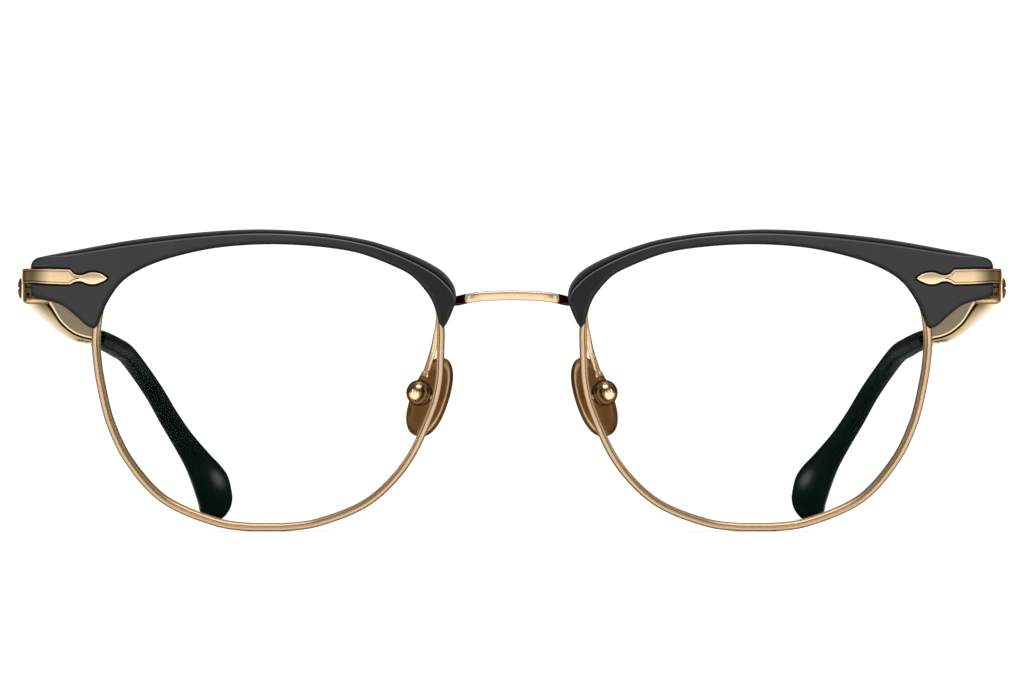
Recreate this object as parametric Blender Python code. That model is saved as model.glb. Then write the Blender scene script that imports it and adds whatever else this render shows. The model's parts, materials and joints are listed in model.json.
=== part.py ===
"""Browline eyeglasses: acetate brows over thin metal rims, on folding temples.

Every shape is drawn once, for the wearer's left (+X), and mirrored for the right.
Sizes are in millimetres and turned into metres when a mesh is made. +Y points
back along the temples, +Z up, and the glasses stand on their rims and tips.
"""

import bmesh
import bpy
import math
from mathutils import Matrix, Vector
from mathutils.geometry import delaunay_2d_cdt

MM = 0.001
SIDES = (("left", 1.0), ("right", -1.0))

# Driving dimensions of the front
LENS_X = 35.3                       # lens centre, out from the middle of the nose
LENS_Z = 21.0                       # lens centre above the table
BASE_RADIUS = 150.0                 # radius of the lens's front curve
FACE_FORM = math.radians(3.0)       # each lens turns back towards its temple
FRONT_TILT = math.radians(3.0)      # the front's lower edge leans to the face
ORIGIN_Y = 70.98                    # middle of the glasses, behind the lens plane
FIT_GAP = 0.3                       # gap between pieces that meet

# Rims and lenses
RIM_HEIGHT = 1.08
RIM_DEPTH = 2.6
RIM_FACE = 0.7                      # width of the front face, before its inner bevel
RIM_BEVEL_DEPTH = 0.35
GROOVE_DEPTH = 0.35
GROOVE_HALF_WIDTH = 0.6
RIM_SPLIT = 0.3                     # gap that the rim screw closes
RIM_SPLIT_POINT = Vector((59.9, 33.1))
LENS_THICKNESS = 1.6
LENS_EDGE_INSET = 1.33
LENS_BEVEL = 0.3
LENS_RINGS = (0.35, 0.7)            # inner rings of the lens's faces, as shares of its outline
RIM_OUTLINE = [
    (60.75, 28.4), (60.65, 25.3), (60.05, 21.2), (58.6, 15.4), (55.7, 9.6), (50.6, 4.1),
    (43.0, 0.8), (37.3, 0.0), (33.3, 0.0), (27.6, 0.8), (20.4, 3.85), (14.9, 9.4), (11.4, 16.4),
    (10.05, 21.2), (9.75, 26.4), (9.75, 29.6), (10.15, 32.6), (11.35, 35.1), (13.8, 37.75),
    (17.15, 39.5), (21.3, 41.0), (25.5, 41.85), (31.7, 42.4), (37.7, 42.4), (43.95, 41.9),
    (50.2, 40.5), (54.5, 38.8), (57.4, 36.75), (59.35, 34.1), (60.3, 31.9),
]

# Brows: outline points with the width of the ledge that is set back along the top
BROW_PROUD = 1.3                    # brow front ahead of the rim's front
BROW_LIP = 0.2                      # brow lip's back, ahead of the rim's front
BROW_THICKNESS = 4.0
BROW_THIN_END = 2.6                 # thickness beside the bridge
BROW_TAPER_X = (9.5, 15.5)
LEDGE_SETBACK = 0.85
NO_LEDGE = 0.05
BROW_OUTLINE = [
    (9.75, 29.45, 0.05), (9.0, 30.8, 0.05), (8.2, 32.9, 0.1), (8.1, 34.5, 0.5),
    (8.7, 36.0, 0.9), (10.3, 37.7, 1.05), (13.6, 39.5, 0.95), (17.6, 41.0, 0.75),
    (21.6, 42.1, 0.67), (27.7, 43.0, 0.6), (35.7, 43.5, 0.63), (43.8, 43.2, 0.7),
    (54.0, 42.2, 0.76), (63.8, 40.6, 0.55), (68.0, 39.85, 0.1), (69.3, 39.4, 0.05),
    (69.82, 38.5, 0.05), (69.85, 36.9, 0.05), (69.8, 34.9, 0.05), (69.0, 33.85, 0.05),
    (67.3, 33.4, 0.05), (65.1, 32.65, 0.05), (63.1, 31.15, 0.05), (61.6, 29.8, 0.05),
    (60.5, 29.35, 0.05), (59.85, 29.8, 0.05), (59.2, 31.5, 0.05), (58.4, 33.5, 0.05),
    (56.6, 36.0, 0.05), (54.0, 37.8, 0.05), (49.9, 39.4, 0.05), (43.8, 40.75, 0.05),
    (37.7, 41.25, 0.05), (31.7, 41.25, 0.05), (25.6, 40.7, 0.05), (21.6, 39.9, 0.05),
    (17.6, 38.4, 0.05), (14.5, 36.8, 0.05), (12.2, 34.3, 0.05), (11.1, 32.2, 0.05),
    (10.6, 30.4, 0.05), (10.2, 29.6, 0.05),
]

# End pieces: a leaf-tipped strip let into the brow, then a plate round its outer end
STRIP_PROUD = 0.05
STRIP_THICKNESS = 0.8
GROOVE_FLOOR = 1.05                 # depth of the strip's seat in the brow
STRIP_STATIONS = [                  # x, lower z, upper z, from the leaf's tip outwards
    (58.4, 36.4, 36.62), (58.8, 36.12, 36.92), (59.4, 35.85, 37.24), (60.1, 35.64, 37.42),
    (60.8, 35.6, 37.46), (61.5, 35.76, 37.28), (62.1, 36.0, 37.08), (62.7, 36.07, 37.05),
    (63.25, 35.95, 37.22), (63.75, 35.72, 37.68), (64.2, 35.66, 37.88), (67.0, 35.75, 38.0),
    (69.3, 35.9, 38.05),
]
PLATE_X = 71.3                      # outer face of the end piece's plate
PLATE_THICKNESS = 0.5
PLATE_LOW = 33.35
PLATE_HIGH = 38.1
PLATE_BACK_Y = 12.2
BEND_RADIUS = 1.9
BEND_STEPS = 5
SHELF_X = (67.8, 71.1)
SHELF_Y = (9.1, 12.2)
SHELF_Z = (33.2, 33.7)
END_SCREW_Y = 7.5
END_SCREW_Z = 35.3
END_BORE = 0.85
END_HEAD = (1.55, 0.55)             # radius and height of the domed head
END_SHANK = (0.6, 5.0)              # radius and length
END_SLOT = (0.35, 0.3)              # width and depth

# Temple hinges
HINGE_X = 68.2
HINGE_Y = 11.6
HINGE_LOW = 33.95
HINGE_HIGH = 37.9
KNUCKLE_LOW = 35.1                  # the temple's own knuckle, between the front's two
KNUCKLE_HIGH = 36.75
KNUCKLE_GAP = 0.08
KNUCKLE_RADIUS = 1.3
HINGE_BORE = 0.66
HINGE_PIN = 0.6
LEAF_INNER_X = 69.6
LEAF_OUTER_X = 70.45
LEAF_Y = (9.3, 12.1)
HINGE_HEAD = (1.0, 0.45)
HINGE_SLOT = (0.28, 0.22)
TEMPLE_LEAF_X = (69.1, 69.27)
TEMPLE_LEAF_Y = (12.95, 17.0)
TEMPLE_LEAF_Z = (34.15, 37.6)
TEMPLE_ARM = ((69.4, 12.95), (69.4, 14.75))     # where the knuckle's arm joins its plate

# Temples and tips
TEMPLE_THICKNESS = 1.35
TEMPLE_STATIONS = [                 # y, middle x, lower z, upper z, ridge above lower z
    (12.45, 70.6, 33.2, 38.1, 3.3), (17.0, 70.0, 32.2, 37.5, 3.1),
    (22.0, 69.3, 31.2, 36.7, 2.5), (28.0, 68.5, 30.1, 35.8, 1.3),
    (35.0, 67.6, 29.1, 34.7, 1.0), (42.0, 66.8, 28.55, 33.6, 1.05),
    (48.0, 66.2, 28.4, 32.4, 1.1), (52.0, 65.85, 28.4, 31.5, 1.0),
    (54.5, 65.65, 28.38, 31.0, 0.9), (56.4, 65.5, 28.35, 30.7, 0.9),
]
TIP_PATH = [                        # x, y, z of the middle, half width, half thickness
    (65.45, 56.8, 29.55, 1.45, 1.35), (65.1, 62.0, 29.4, 1.5, 1.4), (64.75, 69.0, 29.15, 1.55, 1.45),
    (64.4, 78.0, 28.75, 1.6, 1.5), (63.85, 91.0, 27.95, 1.62, 1.52),
    (62.6, 103.0, 25.25, 1.62, 1.55), (60.8, 112.0, 21.6, 1.68, 1.55),
    (59.15, 120.0, 17.7, 1.78, 1.6), (57.3, 127.0, 14.0, 1.95, 1.7),
    (55.2, 133.0, 10.3, 2.45, 1.9), (53.3, 138.0, 6.6, 3.25, 2.1),
    (52.6, 141.0, 3.4, 3.15, 2.0),
]
TIP_END = (52.5, 142.6, -0.1)
TIP_SEGMENTS = 12
CORE_RADIUS = 0.65
CORE_BORE = 0.95
CORE_END = 0.62                     # share of the tip that the core reaches into
TURN_FROM = 0.38                    # share of the tip where its paddle starts to turn
PADDLE_TURN = math.radians(62)
PADDLE_RINGS = (0.45, 0.8)          # shares of the way from the last section to the tip's end

# Nose pads
PAD_CENTRE = Vector((11.9, 9.2, 19.5))
PAD_UP = Vector((-0.34, 0.0, 0.94)).normalized()
PAD_BACK = Vector((0.685, -0.685, 0.248)).normalized()
PAD_HALF_LENGTH = 6.05
PAD_HALF_WIDTH = 3.8
PAD_SEGMENTS = 20
PAD_PIVOT = 1.7                     # pivot in front of the pad's middle plane
PAD_SIDE = 0.6                      # box and stem stand this far across from the middle
PAD_LEVELS = [                      # share of the outline, height in front of the middle plane
    (0.5, -0.78), (0.86, -0.6), (1.0, -0.15), (1.0, 0.25), (0.94, 0.42),
    (0.82, 0.36), (0.7, 0.1), (0.3, 0.02),
]
PAD_TAPER = 0.08                    # the pad is this much narrower at its top
BOX_FOOT = 1.05
BOX_CENTRE = 2.85
BOX_RADIUS = 1.9
SLOT_HALF_WIDTH = 0.68
SLOT_TOP = 2.75
STEM_HALF_WIDTH = 0.38
STEM_HEAD = 0.75
STEM_FOOT = ((-1.1, 0.4), (1.1, 0.4))
PAD_PIN = 0.35
PAD_PIN_SPAN = (-1.45, 1.3)
PAD_HEAD = 0.6
PAD_BORE = 0.42
PAD_SINK = (0.72, 1.25)             # radius and floor of the screw head's recess
ARM_RADIUS = 0.47
ARM_PATH = [
    (10.4, 3.95, 31.4), (10.5, 5.2, 31.1), (10.8, 6.7, 29.4), (11.4, 7.5, 26.5),
    (12.1, 7.5, 24.2), (12.75, 7.15, 22.35),
]

# Bridge, brow tab and rim block
BRIDGE_PATH = [                     # x, y, z of the middle, from the nose outwards
    (0.0, 0.2, 33.98), (2.6, 0.24, 33.92), (4.8, 0.36, 33.78), (6.4, 0.75, 33.55),
    (7.25, 1.8, 33.4), (7.9, 2.85, 33.3), (8.9, 3.2, 33.2), (10.0, 3.3, 33.1),
]
BRIDGE_HALF_HEIGHT = 0.7
BRIDGE_HALF_DEPTH = 0.55
BRIDGE_SEGMENTS = 10
BLOCK_X = (60.0, 62.2)
BLOCK_Y = (6.6, 8.8)
BLOCK_LOW_Z = (31.2, 33.0)
BLOCK_HIGH_Z = (33.3, 35.1)
RIM_SCREW_BORE = 0.62
RIM_HEAD = (0.95, 0.45)
RIM_SHANK = (0.55, 3.7)
RIM_SLOT = (0.28, 0.22)
TAB_CENTRE = (11.2, 37.2)            # behind the brow, clear of the rim and the bridge
TAB_HALF = 0.95
TAB_THICKNESS = 0.6
TAB_BORE = 0.5
TAB_BORE_DEPTH = 1.5                # stops inside the brow
TAB_HEAD = (0.75, 0.35)
TAB_SHANK = (0.38, 1.9)
TAB_SLOT = (0.22, 0.18)
SEAT = 0.05                         # screw heads stand this far off what they clamp


# ---------------------------------------------------------------- curves and meshes

def catmull(points, steps, closed):
    """Points on the smooth curve through the given points, `steps` to a span."""
    count = len(points)
    spans = count if closed else count - 1
    curve = []
    for i in range(spans):
        if closed:
            a, b, c, d = (Vector(points[(i + k - 1) % count]) for k in range(4))
        else:
            a, b, c, d = (Vector(points[min(max(i + k - 1, 0), count - 1)]) for k in range(4))
        for j in range(steps):
            t = j / steps
            curve.append(0.5 * (2 * b + (c - a) * t + (2 * a - 5 * b + 4 * c - d) * t * t
                                + (3 * b - a - 3 * c + d) * t ** 3))
    if not closed:
        curve.append(Vector(points[-1]))
    return curve


def inset(loop, distance):
    """A closed (x, z) loop moved inwards; distance is one number or one per point."""
    count = len(loop)
    area = sum(loop[i - 1][0] * loop[i][1] - loop[i][0] * loop[i - 1][1] for i in range(count))
    turn = 1.0 if area > 0 else -1.0
    moved = []
    for i, point in enumerate(loop):
        along = (loop[(i + 1) % count] - loop[i - 1]).normalized()
        inwards = Vector((-along[1], along[0])) * turn
        step = distance[i] if isinstance(distance, list) else distance
        moved.append(Vector(point[:2]) + inwards * step)
    return moved


def front_y(x, z):
    """Depth of the front's curved, tilted surface at the rims' front edge."""
    across = x - LENS_X
    up = z - LENS_Z
    dome = (across ** 2 + up ** 2) / (2 * BASE_RADIUS)
    return dome + across * math.tan(FACE_FORM) - up * math.tan(FRONT_TILT)


def loft(rings):
    """A closed skin over rings of equal count, capped at both ends."""
    size = len(rings[0])
    verts = [Vector(point) for ring in rings for point in ring]
    faces = []
    for i in range(len(rings) - 1):
        a = i * size
        b = a + size
        for j in range(size):
            k = (j + 1) % size
            faces.append((a + j, a + k, b + k, b + j))
    faces.append(tuple(reversed(range(size))))
    faces.append(tuple(range(len(verts) - size, len(verts))))
    return verts, faces


def fill(loop, reverse):
    """Triangles that fill a flat (x, z) loop."""
    edges = [(i, (i + 1) % len(loop)) for i in range(len(loop))]
    flat = [Vector(point[:2]) for point in loop]
    triangles = delaunay_2d_cdt(flat, edges, [], 1, 1e-6)[2]
    return [tuple(reversed(t)) if reverse else tuple(t) for t in triangles]


def layered_plate(layers):
    """A plate from (loop, depth offset) layers that follow the front's surface."""
    size = len(layers[0][0])
    verts = []
    for loop, offset in layers:
        shifts = offset if isinstance(offset, list) else [offset] * size
        for point, shift in zip(loop, shifts):
            verts.append(Vector((point[0], front_y(point[0], point[1]) + shift, point[1])))
    faces = fill(layers[0][0], False)
    base = len(verts) - size
    faces += [tuple(base + i for i in face) for face in fill(layers[-1][0], True)]
    for layer in range(len(layers) - 1):
        a = layer * size
        b = a + size
        for j in range(size):
            k = (j + 1) % size
            faces.append((a + k, a + j, b + j, b + k))
    return verts, faces


def box(low, high):
    """A box between two corners."""
    bottom = [(low[0], low[1]), (high[0], low[1]), (high[0], high[1]), (low[0], high[1])]
    rings = [[(x, y, z) for x, y in bottom] for z in (low[2], high[2])]
    return loft(rings)


def turned(profile, centre, axis, segments):
    """A solid turned about an axis from (radius, height) points; both ends on the axis."""
    turn = Vector((0, 0, 1)).rotation_difference(Vector(axis)).to_matrix()
    rings = []
    for radius, height in profile[1:-1]:
        ring = []
        for i in range(segments):
            angle = 2 * math.pi * (i + 0.5) / segments
            local = Vector((radius * math.cos(angle), radius * math.sin(angle), height))
            ring.append(Vector(centre) + turn @ local)
        rings.append(ring)
    verts, faces = loft(rings)
    faces = faces[:-2]
    poles = [Vector(centre) + turn @ Vector((0, 0, profile[i][1])) for i in (0, -1)]
    verts += poles
    first = len(verts) - 2
    base = first - segments
    for i in range(segments):
        k = (i + 1) % segments
        faces.append((first, k, i))
        faces.append((first + 1, base + i, base + k))
    return verts, faces


def rod(centre, axis, radius, low, high, segments=12):
    """A plain round rod, also used as a drill."""
    profile = [(0, low), (radius, low), (radius, high), (0, high)]
    return turned(profile, centre, axis, segments)


def add_object(name, shape, material, pivot, mirror, parent):
    """One named object from (vertices, faces), its origin on the given pivot."""
    verts, faces = shape
    flip = Vector((mirror, 1.0, 1.0))
    mesh = bpy.data.meshes.new(name)
    mesh.from_pydata([(vert - pivot) * flip * MM for vert in verts], [], faces)
    skin = bmesh.new()
    skin.from_mesh(mesh)
    bmesh.ops.recalc_face_normals(skin, faces=skin.faces)
    skin.to_mesh(mesh)
    skin.free()
    mesh.materials.append(material)
    mesh.shade_smooth()
    mesh.set_sharp_from_angle(angle=math.radians(35))
    item = bpy.data.objects.new(name, mesh)
    bpy.context.collection.objects.link(item)
    item.parent = parent
    item.location = pivot * flip * MM - (parent.location if parent.parent else Vector())
    return item


def add_pair(name, shape, material, cutters=(), pivots=None, pivot=Vector()):
    """The left piece and its mirrored twin, each with its own cutters."""
    for side, mirror in SIDES:
        parent = pivots[side] if pivots else FRAME
        item = add_object(f"{name}_{side}", shape, material, pivot, mirror, parent)
        for number, cutter in enumerate(cutters):
            operation, tool_shape = cutter
            tool_name = f"cutter_{name}_{number}_{side}"
            tool = add_object(tool_name, tool_shape, material, pivot, mirror, parent)
            tool.hide_render = True
            tool.display_type = "WIRE"
            boolean = item.modifiers.new(f"cut_{number}", "BOOLEAN")
            boolean.object = tool
            boolean.operation = operation
            boolean.solver = "EXACT"


def add_pivots(name, place):
    """An empty on the joint's axis for each side, which its moving pieces hang from."""
    pivots = {}
    for side, mirror in SIDES:
        empty = bpy.data.objects.new(f"{name}_{side}", None)
        bpy.context.collection.objects.link(empty)
        empty.parent = FRAME
        empty.location = place * Vector((mirror, 1.0, 1.0)) * MM
        pivots[side] = empty
    return pivots


def add_material(name, colour, roughness, metallic):
    """A plain Principled material."""
    material = bpy.data.materials.new(name)
    material.use_nodes = True
    shader = material.node_tree.nodes["Principled BSDF"]
    shader.inputs["Base Color"].default_value = (*colour, 1.0)
    shader.inputs["Roughness"].default_value = roughness
    shader.inputs["Metallic"].default_value = metallic
    return material


# ---------------------------------------------------------------- front

def rim_loop():
    """The rim's outer edge as a smooth closed loop that rests on the table."""
    return [Vector((x, max(z, 0.0))) for x, z in catmull(RIM_OUTLINE, 2, True)]


def rim_shape():
    """A grooved eyewire that runs right round, with a narrow split for its screw."""
    loop = rim_loop()
    start = min(range(len(loop)), key=lambda i: (loop[i] - RIM_SPLIT_POINT).length)
    loop = loop[start:] + loop[:start]
    mid = RIM_DEPTH / 2
    section = [
        (0.0, 0.0), (0.0, RIM_DEPTH), (RIM_HEIGHT, RIM_DEPTH),
        (RIM_HEIGHT, mid + GROOVE_HALF_WIDTH), (RIM_HEIGHT - GROOVE_DEPTH, mid),
        (RIM_HEIGHT, mid - GROOVE_HALF_WIDTH), (RIM_HEIGHT, RIM_BEVEL_DEPTH), (RIM_FACE, 0.0),
    ]
    layers = [inset(loop, step) for step, _ in section]
    rings = []
    for i in range(len(loop)):
        ring = []
        for layer, (_, depth) in zip(layers, section):
            x, z = layer[i]
            ring.append(Vector((x, front_y(x, z) + depth, z)))
        rings.append(ring)
    first = [point + Vector((0, 0, -RIM_SPLIT / 2)) for point in rings[0]]
    last = [point + Vector((0, 0, RIM_SPLIT / 2)) for point in rings[0]]
    return loft([first] + rings[1:] + [last])


def lens_shape():
    """A curved lens with a bevelled edge that sits in the rim's groove."""
    loop = rim_loop()
    body = inset(loop, LENS_EDGE_INSET)
    bevel = inset(loop, LENS_EDGE_INSET - LENS_BEVEL)
    centre = Vector((LENS_X, LENS_Z))
    inner = [[centre + (point - centre) * share for point in body] for share in LENS_RINGS]
    front = (RIM_DEPTH - LENS_THICKNESS) / 2
    back = front + LENS_THICKNESS
    mid = (front + back) / 2
    layers = [(inner[0], front), (inner[1], front), (body, front), (bevel, mid),
              (body, back), (inner[1], back), (inner[0], back)]
    return layered_plate(layers)


def brow_back(x):
    """The brow's back face behind the rims' front edge: thinner beside the bridge."""
    share = min(1.0, max(0.0, (x - BROW_TAPER_X[0]) / (BROW_TAPER_X[1] - BROW_TAPER_X[0])))
    return BROW_THIN_END + (BROW_THICKNESS - BROW_THIN_END) * share - BROW_PROUD


def brow_shape():
    """The brow: a front plate with a ledge set back along its top edge."""
    outline = catmull(BROW_OUTLINE, 2, True)
    loop = [Vector(point[:2]) for point in outline]
    ledge = [max(point[2], NO_LEDGE) for point in outline]
    plate = inset(loop, ledge)
    back = [brow_back(point[0]) for point in loop]
    step = LEDGE_SETBACK - BROW_PROUD
    return layered_plate([(plate, -BROW_PROUD), (plate, step), (loop, step), (loop, back)])


def rim_seat_cutter():
    """Clears the brow behind its lip, where the rim and lens lie."""
    loop = inset(rim_loop(), -FIT_GAP)
    return layered_plate([(loop, -BROW_LIP), (loop, 2 * BROW_THICKNESS)])


def strip_rings(grow, front, back):
    """Sections of the strip from the leaf's tip out to the brow's end."""
    rings = []
    for x, low, high in STRIP_STATIONS:
        ring = []
        for z, depth in ((low - grow, front), (high + grow, front),
                         (high + grow, back), (low - grow, back)):
            ring.append(Vector((x, front_y(x, z) - BROW_PROUD + depth, z)))
        rings.append(ring)
    return rings


def strip_seat_cutter():
    """The slot in the brow's face that takes the strip, open at the outer end."""
    rings = strip_rings(FIT_GAP, -1.0, GROOVE_FLOOR)
    tip = [point + Vector((-FIT_GAP, 0, 0)) for point in rings[0]]
    out = [point + Vector((2.0, 0.7, 0)) for point in rings[-1]]
    return loft([tip] + rings[1:] + [out])


def end_piece_shape():
    """Strip, bend and side plate as one bent ribbon of metal."""
    rings = strip_rings(0.0, -STRIP_PROUD, STRIP_THICKNESS - STRIP_PROUD)
    _, low, high = STRIP_STATIONS[-1]
    turn = Vector((PLATE_X - BEND_RADIUS, 0.0))
    face_y = front_y(turn.x, (low + high) / 2) - BROW_PROUD - STRIP_PROUD
    turn.y = face_y + BEND_RADIUS
    for step in range(1, BEND_STEPS + 1):
        share = step / BEND_STEPS
        angle = math.pi / 2 * share
        out = Vector((math.sin(angle), -math.cos(angle)))
        thickness = STRIP_THICKNESS + (PLATE_THICKNESS - STRIP_THICKNESS) * share
        rings.append(plate_ring(turn + out * BEND_RADIUS,
                                turn + out * (BEND_RADIUS - thickness), low, high))
    for y, bottom, top in ((turn.y + 0.2, low, high), (turn.y + 0.4, PLATE_LOW, PLATE_HIGH),
                           (PLATE_BACK_Y, PLATE_LOW, PLATE_HIGH)):
        rings.append(plate_ring(Vector((PLATE_X, y)), Vector((PLATE_X - PLATE_THICKNESS, y)),
                                bottom, top))
    return loft(rings)


def plate_ring(outer, inner, low, high):
    """One upright section between an outer and an inner (x, y) point."""
    return [Vector((*outer, low)), Vector((*outer, high)),
            Vector((*inner, high)), Vector((*inner, low))]


def screw_shape(centre, axis, head, shank, segments=12):
    """A domed screw; its head rises along the axis from the centre, its shank goes down."""
    head_radius, head_height = head
    radius, length = shank
    return turned([
        (0, -length), (radius * 0.7, -length), (radius, -length + 0.3), (radius, 0.0),
        (head_radius, 0.0), (head_radius, head_height * 0.4),
        (head_radius * 0.72, head_height * 0.85), (0, head_height),
    ], centre, axis, segments)


def slot_cutter(centre, axis, along, head, slot):
    """The driver slot across a screw's head."""
    axis = Vector(axis)
    along = Vector(along) * 2 * head[0]
    width, depth = slot
    side = axis.cross(Vector(along)).normalized() * width / 2
    corners = [-along - side, along - side, along + side, -along + side]
    floor = head[1] - depth
    return loft([[Vector(centre) + axis * height + corner for corner in corners]
                 for height in (floor, floor + 1.0)])


def bridge_shape():
    """An arched, flattened bar from rim to rim."""
    half = catmull(BRIDGE_PATH, 2, False)
    path = [Vector((-p[0], p[1], p[2])) for p in reversed(half[1:])] + half
    up = Vector((0, 0, 1))
    rings = []
    for i, point in enumerate(path):
        along = (path[min(i + 1, len(path) - 1)] - path[max(i - 1, 0)]).normalized()
        out = up.cross(along).normalized()
        ring = []
        for step in range(BRIDGE_SEGMENTS):
            angle = 2 * math.pi * step / BRIDGE_SEGMENTS
            ring.append(point + up * (BRIDGE_HALF_HEIGHT * math.sin(angle))
                        + out * (BRIDGE_HALF_DEPTH * math.cos(angle)))
        rings.append(ring)
    return loft(rings)


def tube(path, radius, segments, turn=0.0, side=Vector((1, 0, 0))):
    """Sections of a round wire along a path; turn sets where each section starts."""
    rings = []
    for i, point in enumerate(path):
        along = (path[min(i + 1, len(path) - 1)] - path[max(i - 1, 0)]).normalized()
        side = (side - along * side.dot(along)).normalized()
        up = side.cross(along)
        rings.append([point + (side * math.cos(a) + up * math.sin(a)) * radius
                      for a in (turn + 2 * math.pi * k / segments for k in range(segments))])
    return rings


def build_brow(gold, black):
    """Brows with their seats and holes, the end pieces let into them, and the end screws."""
    end_centre = Vector((PLATE_X, END_SCREW_Y, END_SCREW_Z))
    end_hole = rod(end_centre, (1, 0, 0), END_BORE, -7.0, 2.0)
    tab_y = front_y(*TAB_CENTRE) + brow_back(TAB_CENTRE[0]) + FIT_GAP
    tab_at = Vector((TAB_CENTRE[0], tab_y, TAB_CENTRE[1]))
    tab_hole = rod(tab_at, (0, 1, 0), TAB_BORE, -TAB_BORE_DEPTH, 3.0)
    add_pair("brow", brow_shape(), black, [
        ("DIFFERENCE", rim_seat_cutter()), ("DIFFERENCE", strip_seat_cutter()),
        ("DIFFERENCE", end_hole), ("DIFFERENCE", tab_hole)])

    shelf = box(*zip(SHELF_X, SHELF_Y, SHELF_Z))
    add_pair("end_piece", end_piece_shape(), gold, [("UNION", shelf), ("DIFFERENCE", end_hole)])
    end_head = end_centre + Vector((SEAT, 0, 0))
    add_pair("end_screw", screw_shape(end_head, (1, 0, 0), END_HEAD, END_SHANK), gold,
             [("DIFFERENCE", slot_cutter(end_head, (1, 0, 0), (0, 1, 0), END_HEAD, END_SLOT))])

    add_pair("brow_tab", rod(tab_at, (0, 1, 0), TAB_HALF, 0.0, TAB_THICKNESS, 14), gold,
             [("DIFFERENCE", tab_hole)])
    tab_head = tab_at + Vector((0, TAB_THICKNESS + SEAT, 0))
    add_pair("brow_screw", screw_shape(tab_head, (0, 1, 0), TAB_HEAD, TAB_SHANK), gold,
             [("DIFFERENCE", slot_cutter(tab_head, (0, 1, 0), (1, 0, 0), TAB_HEAD, TAB_SLOT))])


def build_rim(gold, glass):
    """Bridge, rims and lenses, and the split block that closes each rim."""
    add_object("bridge", bridge_shape(), gold, Vector(), 1.0, FRAME)
    add_pair("rim", rim_shape(), gold)
    add_pair("lens", lens_shape(), glass)
    top = Vector((sum(BLOCK_X) / 2, sum(BLOCK_Y) / 2, BLOCK_HIGH_Z[1]))
    bore = rod(top, (0, 0, 1), RIM_SCREW_BORE, -9.0, 2.0)
    for name, span in (("upper", BLOCK_HIGH_Z), ("lower", BLOCK_LOW_Z)):
        add_pair(f"rim_block_{name}", box(*zip(BLOCK_X, BLOCK_Y, span)), gold,
                 [("DIFFERENCE", bore)])
    head_at = top + Vector((0, 0, SEAT))
    add_pair("rim_screw", screw_shape(head_at, (0, 0, 1), RIM_HEAD, RIM_SHANK), gold,
             [("DIFFERENCE", slot_cutter(head_at, (0, 0, 1), (1, 0, 0), RIM_HEAD, RIM_SLOT))])


# ---------------------------------------------------------------- hinges and temples

def knuckle(low, high, bottom, top):
    """A round barrel with straight sides running to two corners, raised between two heights."""
    start = math.atan2(low[1] - HINGE_Y, low[0] - HINGE_X)
    end = math.atan2(high[1] - HINGE_Y, high[0] - HINGE_X)
    first = start - math.acos(KNUCKLE_RADIUS / math.hypot(low[0] - HINGE_X, low[1] - HINGE_Y))
    last = end + math.acos(KNUCKLE_RADIUS / math.hypot(high[0] - HINGE_X, high[1] - HINGE_Y))
    steps = 12
    sweep = 2 * math.pi - (last - first)
    outline = []
    for i in range(steps + 1):
        angle = last + sweep * i / steps
        outline.append((HINGE_X + KNUCKLE_RADIUS * math.cos(angle),
                        HINGE_Y + KNUCKLE_RADIUS * math.sin(angle)))
    outline += [low, high]
    return loft([[(x, y, z) for x, y in outline] for z in (bottom, top)])


def blade_rings():
    """The temple's bevelled sections: flat outside, with a ridge along the inside."""
    rings = []
    half = TEMPLE_THICKNESS / 2
    for y, x, low, high, ridge in TEMPLE_STATIONS:
        bevel = min(0.45, (high - low) * 0.2)
        rings.append([
            Vector((x + half * 0.3, y, low)), Vector((x + half * 0.8, y, low + 0.1)),
            Vector((x + half, y, low + bevel)), Vector((x + half, y, high - bevel)),
            Vector((x + half * 0.6, y, high)), Vector((x - half * 0.5, y, high)),
            Vector((x - half * 0.85, y, high - bevel)), Vector((x - half, y, low + ridge)),
        ])
    return rings


def tip_frames():
    """The tip's middle line and, at each point, its half width and half thickness."""
    smooth = catmull(TIP_PATH, 2, False)
    path = [Vector(point[:3]) for point in smooth]
    sizes = [(point[3], point[4]) for point in smooth]
    return path, sizes


def temple_shape():
    """A tall bevelled blade that thins down to a round wire inside the tip."""
    path, _ = tip_frames()
    blade = blade_rings()
    reach = int(len(path) * CORE_END)
    return loft(blade + tube(path[:reach], CORE_RADIUS, len(blade[0]), math.radians(-112.5)))


def tip_axes(path):
    """Across and through directions of the tip's section at each point of its path."""
    axes = []
    for i, point in enumerate(path):
        along = (path[min(i + 1, len(path) - 1)] - path[max(i - 1, 0)]).normalized()
        up = (Vector((0, 0, 1)) - along * along.z).normalized()
        side = along.cross(up)
        share = i / (len(path) - 1)
        turn = max(0.0, (share - TURN_FROM) / (1 - TURN_FROM)) * PADDLE_TURN
        across = up * math.cos(turn) - side * math.sin(turn)
        axes.append((across, along.cross(across)))
    return axes


def tip_shape():
    """The acetate tip: a paddle-ended sleeve, bored for the temple's core."""
    path, sizes = tip_frames()
    axes = tip_axes(path)
    turns = [2 * math.pi * k / TIP_SEGMENTS for k in range(TIP_SEGMENTS)]
    rings = []
    for point, (width, thickness), (across, through) in zip(path, sizes, axes):
        rings.append([point + across * (width * math.cos(a)) + through * (thickness * math.sin(a))
                      for a in turns])
    last = rings[-1]
    for share in PADDLE_RINGS:
        scale = math.sqrt(1 - share ** 2)
        middle = path[-1].lerp(Vector(TIP_END), share)
        rings.append([middle + (point - path[-1]) * scale for point in last])
    bore = []
    for i in reversed(range(int(len(path) * CORE_END) + 1)):
        across, through = axes[i]
        bore.append([path[i] + (across * math.cos(a) + through * math.sin(a)) * CORE_BORE
                     for a in turns])
    verts, faces = loft(bore + rings)
    return [Vector((v.x, v.y, max(v.z, 0.0))) for v in verts], faces


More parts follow.
